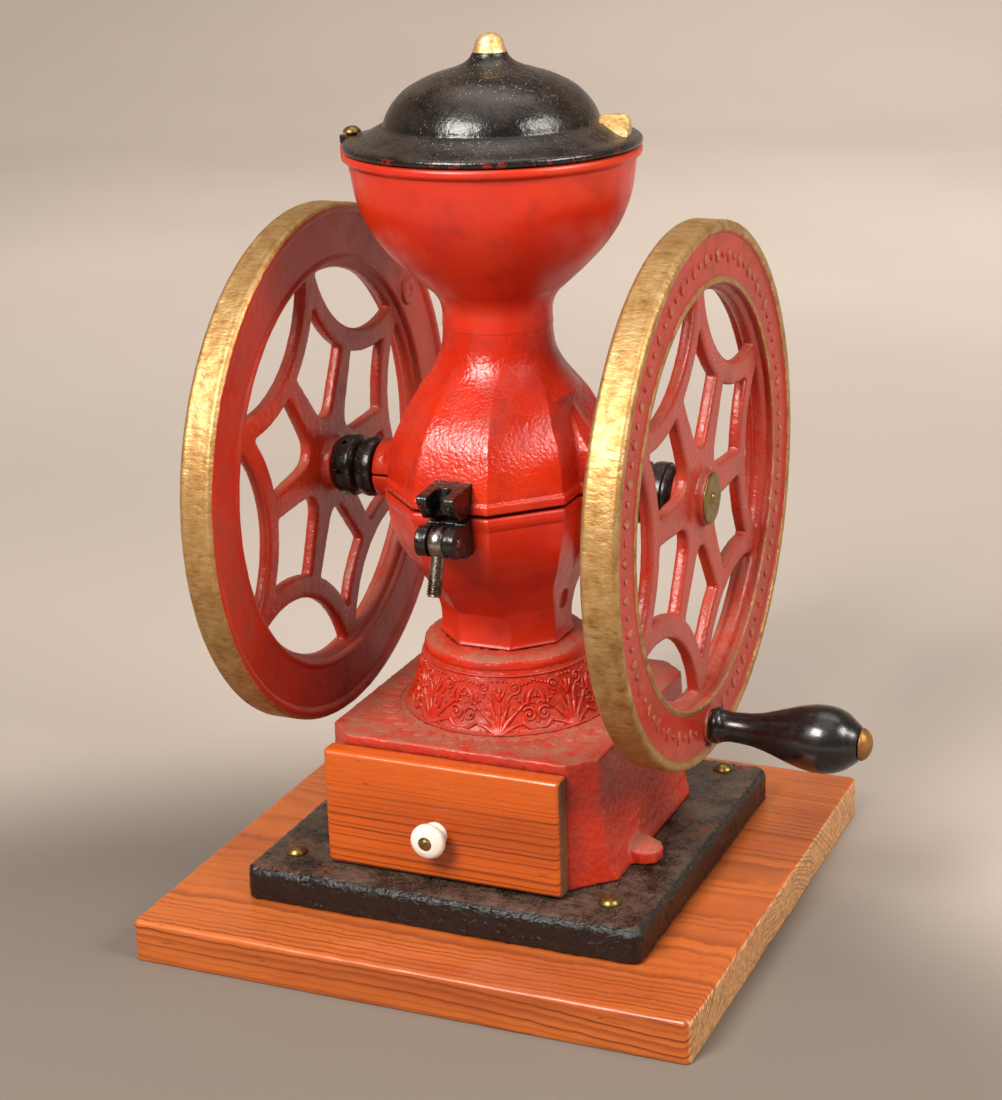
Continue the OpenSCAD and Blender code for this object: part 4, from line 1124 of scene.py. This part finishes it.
pivot = np.mean(np.array(box_mm("clamp_pin")), 0)
BOLT_LEAN = 20  # degrees outward from straight down
BOLT_END, PITCH, CORE = -27.0, 1.25, 3.5


def swing_bolt():
    """Eye, round shank and a cut thread, built straight down and then leaned out."""
    ring = [(-4, 2.5, 1), (-4, 6.6), (-3.3, 7.2), (3.3, 7.2), (4, 6.6), (4, 2.5, 1), (-4, 2.5)]
    eye = lathe("eye", curve(ring, 0.4), STEEL, axis="x", seg=72, wrap=True)
    z = np.arange(BOLT_END, -5.0, 0.11)[:, None]
    t = around(64)[None]
    vee = np.abs(((z / PITCH - t / TAU) % 1.0) * 2 - 1)
    r = CORE + np.clip((-18.2 - z) / 0.8, 0, 1) * (0.3 - 0.75 * (1 - vee))
    r = r * np.clip((z - BOLT_END) / 0.9 * 0.25 + 0.75, 0, 1)
    o = joined("swing_bolt_forged", [eye, surface("shank", polar(r, t, z), STEEL)], STEEL)
    c, s = cos(radians(BOLT_LEAN)), sin(radians(BOLT_LEAN))

    def lean(v):
        x, y, z = v.T
        return np.column_stack([x, y * c + z * s, z * c - y * s]) + pivot

    reshape(o, lean)
    o.data.set_sharp_from_angle(angle=radians(50))
    return o


place(swing_bolt(), "swing_bolt_unit", ["swing_bolt"])

# ---- drawer


def board_piece(node, body):
    """A planed and eased board the size of its CAD node."""
    name = node + "_planed"
    lo, hi = box_mm(node)
    bm = bmesh.new()
    bmesh.ops.create_cube(bm, size=1.0)
    for v in bm.verts:
        v.co = Vector([(lo[i] if v.co[i] < 0 else hi[i]) * MM for i in range(3)])
    bmesh.ops.bevel(bm, geom=bm.edges[:], offset=0.5 * MM, segments=5, affect="EDGES", profile=0.5)
    for _ in range(3):
        long = [e for e in bm.edges if e.calc_length() > 9 * MM]
        bmesh.ops.subdivide_edges(bm, edges=long, cuts=2, use_grid_fill=True)
    me = bpy.data.meshes.new(name)
    bm.to_mesh(me)
    bm.free()
    return place(link(name, me, PLAIN_PINE, 60), body, [node])


def drawer_face():
    lo, hi = box_mm("drawer_front")
    w, h, c = hi[0] - lo[0], hi[2] - lo[2], (lo + hi) / 2
    rows = [(inset, hi[1] - down) for inset, down in ((28, 0), (0.6, 0), (0.2, 0.2), (0, 0.8), (0, 3))]
    rows += [(0, lo[1] + 5), (0, lo[1] + 3.2)]
    rows += [(2.8 * (1 - cos(a)), lo[1] + 2.8 * (1 - sin(a))) for a in np.linspace(0, TAU / 4, 8)]
    rows += [(i, lo[1]) for i in np.arange(4.5, 30, 2.0)]
    P = []
    for inset, y in rows:
        o = rrect(w - 2 * inset, h - 2 * inset, max(1.6 - inset * 0.4, 0.4), 6)
        P.append(np.column_stack([o[:, 0] + c[0], np.full(len(o), y), o[:, 1] + c[2]]))
    o = surface("drawer_front_planed", np.stack(P), FRONT)
    return roughen(o, 0.12, 11.0, 2.0)


place(drawer_face(), "drawer_unit", ["drawer_front"])
for n in ("drawer_side_right", "drawer_side_left", "drawer_back", "drawer_bottom"):
    board_piece(n, "drawer_unit")
for n in ("runner_right", "runner_left"):
    board_piece(n, "stand")

lo, hi = box_mm("drawer_knob")
KNOB_PROFILE = [
    (0, KNOB_HOLE, 1), (0, 6.6, 1), (0.9, 6.7), (1.8, 6.3), (2.8, 5.5), (4.0, 5.2), (5.2, 5.8), (6.2, 7.4),
    (7.4, 8.9), (9.0, 9.35), (10.6, 9.1), (12.0, 7.9), (12.9, 6.0), (13.3, 4.4), (13.3, 3.7, 1),
    (12.2, 3.7, 1), (12.0, KNOB_HOLE, 1), (0, KNOB_HOLE),
]
at = ((lo[0] + hi[0]) / 2, hi[1], (lo[2] + hi[2]) / 2)
knob = lathe("china_knob", curve(KNOB_PROFILE, 0.35), CHINA, at, "y", 96, wrap=True)
place(knob, "drawer_unit", ["drawer_knob"])

# ---- materials on CAD pieces

PAINT = {
    "clamp_pin": STEEL, "rear_hinge_pin": STEEL, "shaft": BRIGHT, "right_key": STEEL, "left_key": STEEL,
    "handle_bolt": STEEL, "handle_washer": STEEL, "fixed_burr": IRON, "rotating_burr": IRON, "auger": IRON,
    "adjusting_nut": BLACK, "knob_screw": BRASS, "lid_pivot_screw": BRASS,
}
PAINT.update((n, BRASS) for n in nodes if n.startswith("plate_screw"))
for n, mat in PAINT.items():
    nodes[n].data.materials.clear()
    nodes[n].data.materials.append(mat)
    w = nodes[n].modifiers.new("weld", "WELD")
    w.merge_threshold = 1e-6
    b = nodes[n].modifiers.new("edge", "BEVEL")
    b.width, b.segments, b.limit_method, b.angle_limit = 0.15 * MM, 2, "ANGLE", radians(38)
    b.use_clamp_overlap = True

# ---- floor, light, camera


# painted light and shade on the paper: darker near the mill, lighter far off and up the sweep
FLOOR_SHADED_NEAR, FLOOR_MID, FLOOR_LIT_FAR = "71685f", "b8aca2", "ddd0c5"
FLAT, SWEEP = 2.7, 1.5  # radius of the flat floor and of the sweep round it, in metres


def backdrop():
    """A shallow bowl of paper: flat floor that sweeps up on all sides, with painted shade near the middle and painted
    light far off.
    """
    prof = [(r, 0.0) for r in (0.05, 0.4, 0.9, 1.5, 2.2, FLAT)]
    sweep = np.linspace(0.08, TAU / 4, 18)
    prof += [(FLAT + SWEEP * sin(a), SWEEP - SWEEP * cos(a)) for a in sweep]
    prof += [(FLAT + SWEEP, 3.2)]
    v, f, seg = [(0, 0, 0)], [], 128
    for r, z in prof:
        v += [(r * cos(TAU * k / seg), r * sin(TAU * k / seg), z) for k in range(seg)]
    for k in range(seg):
        n = (k + 1) % seg
        f.append((0, 1 + k, 1 + n))
        for i in range(len(prof) - 1):
            a, b = 1 + i * seg, 1 + (i + 1) * seg
            f.append((a + k, b + k, b + n, a + n))
    me = bpy.data.meshes.new("backdrop")
    me.from_pydata(v, [], f)
    m = Mat("paper")
    x, y, z = m.xyz()
    far = m.add(m.math("SQRT", m.add(m.mul(x, x), m.mul(y, y))), z)
    # painted light: lighter towards the back, darker towards the front
    far = m.add(far, m.step(y, -0.2, 0.2, -0.2, 0.2))
    col = m.mix(m.step(far, 0.13, 0.5), FLOOR_SHADED_NEAR, FLOOR_MID)
    col = m.mix(m.step(far, 0.9, 2.2), col, FLOOR_LIT_FAR)
    col = m.mix(m.step(m.noise(1.5, 2), 0.3, 0.7, 0, 0.12), col, "8f8072")
    m.bumps((m.noise(500, 3), 0.05, 0.1))
    link("backdrop", me, m.out(col, 0.85))


backdrop()


def toward(az, el):
    """Unit vector to an azimuth and elevation, from the front."""
    return Vector((sin(az) * cos(el), -cos(az) * cos(el), sin(el)))


def lamp(name, az, el, dist, size, power, colour, aim=(0, 0, 0.22), spread=180):
    d = bpy.data.lights.new(name, "AREA")
    d.shape, d.size, d.energy, d.color = "SQUARE", size, power, colour
    d.spread = radians(spread)
    o = bpy.data.objects.new(name, d)
    scene.collection.objects.link(o)
    way = toward(radians(az), radians(el))
    o.location = Vector(aim) + way * dist
    o.rotation_euler = way.to_track_quat("Z", "Y").to_euler()


lamp("key", -14, 40, 2.0, 0.8, 58, (1.0, 0.96, 0.91))
lamp("side", 82, 36, 2.1, 0.8, 36, (1.0, 0.96, 0.91))
lamp("top", 20, 80, 2.4, 1.6, 8, (1.0, 0.97, 0.94))
lamp("wall", 0, 75, 2.9, 2.6, 27, (1.0, 0.95, 0.9), (0, 2.3, 0.0), 105)
world = bpy.data.worlds.new("room")
world.use_nodes = True
bg = world.node_tree.nodes["Background"]
bg.inputs[0].default_value, bg.inputs[1].default_value = (0.95, 0.92, 0.89, 1), 0.1
scene.world = world

AZIMUTH, ELEVATION, ROLL = (radians(d) for d in (23.74, 18.48, -1.80))
TARGET, DISTANCE = Vector((1.70, -8.88, 195.81)) * MM, 1.20054
cam = bpy.data.cameras.new("camera")
cam.lens, cam.sensor_width, cam.clip_end = 76.45, 36.0, 50.0
eye = bpy.data.objects.new("camera", cam)
scene.collection.objects.link(eye)
back = toward(AZIMUTH, ELEVATION)
eye.location = TARGET + back * DISTANCE
right = Vector((cos(AZIMUTH), sin(AZIMUTH), 0))
up = back.cross(right)
rolled_right = right * cos(ROLL) + up * sin(ROLL)
rolled_up = up * cos(ROLL) - right * sin(ROLL)
eye.rotation_mode = "QUATERNION"
eye.rotation_quaternion = Matrix((rolled_right, rolled_up, back)).transposed().to_quaternion()
scene.camera = eye
scene.view_settings.view_transform = "Standard"
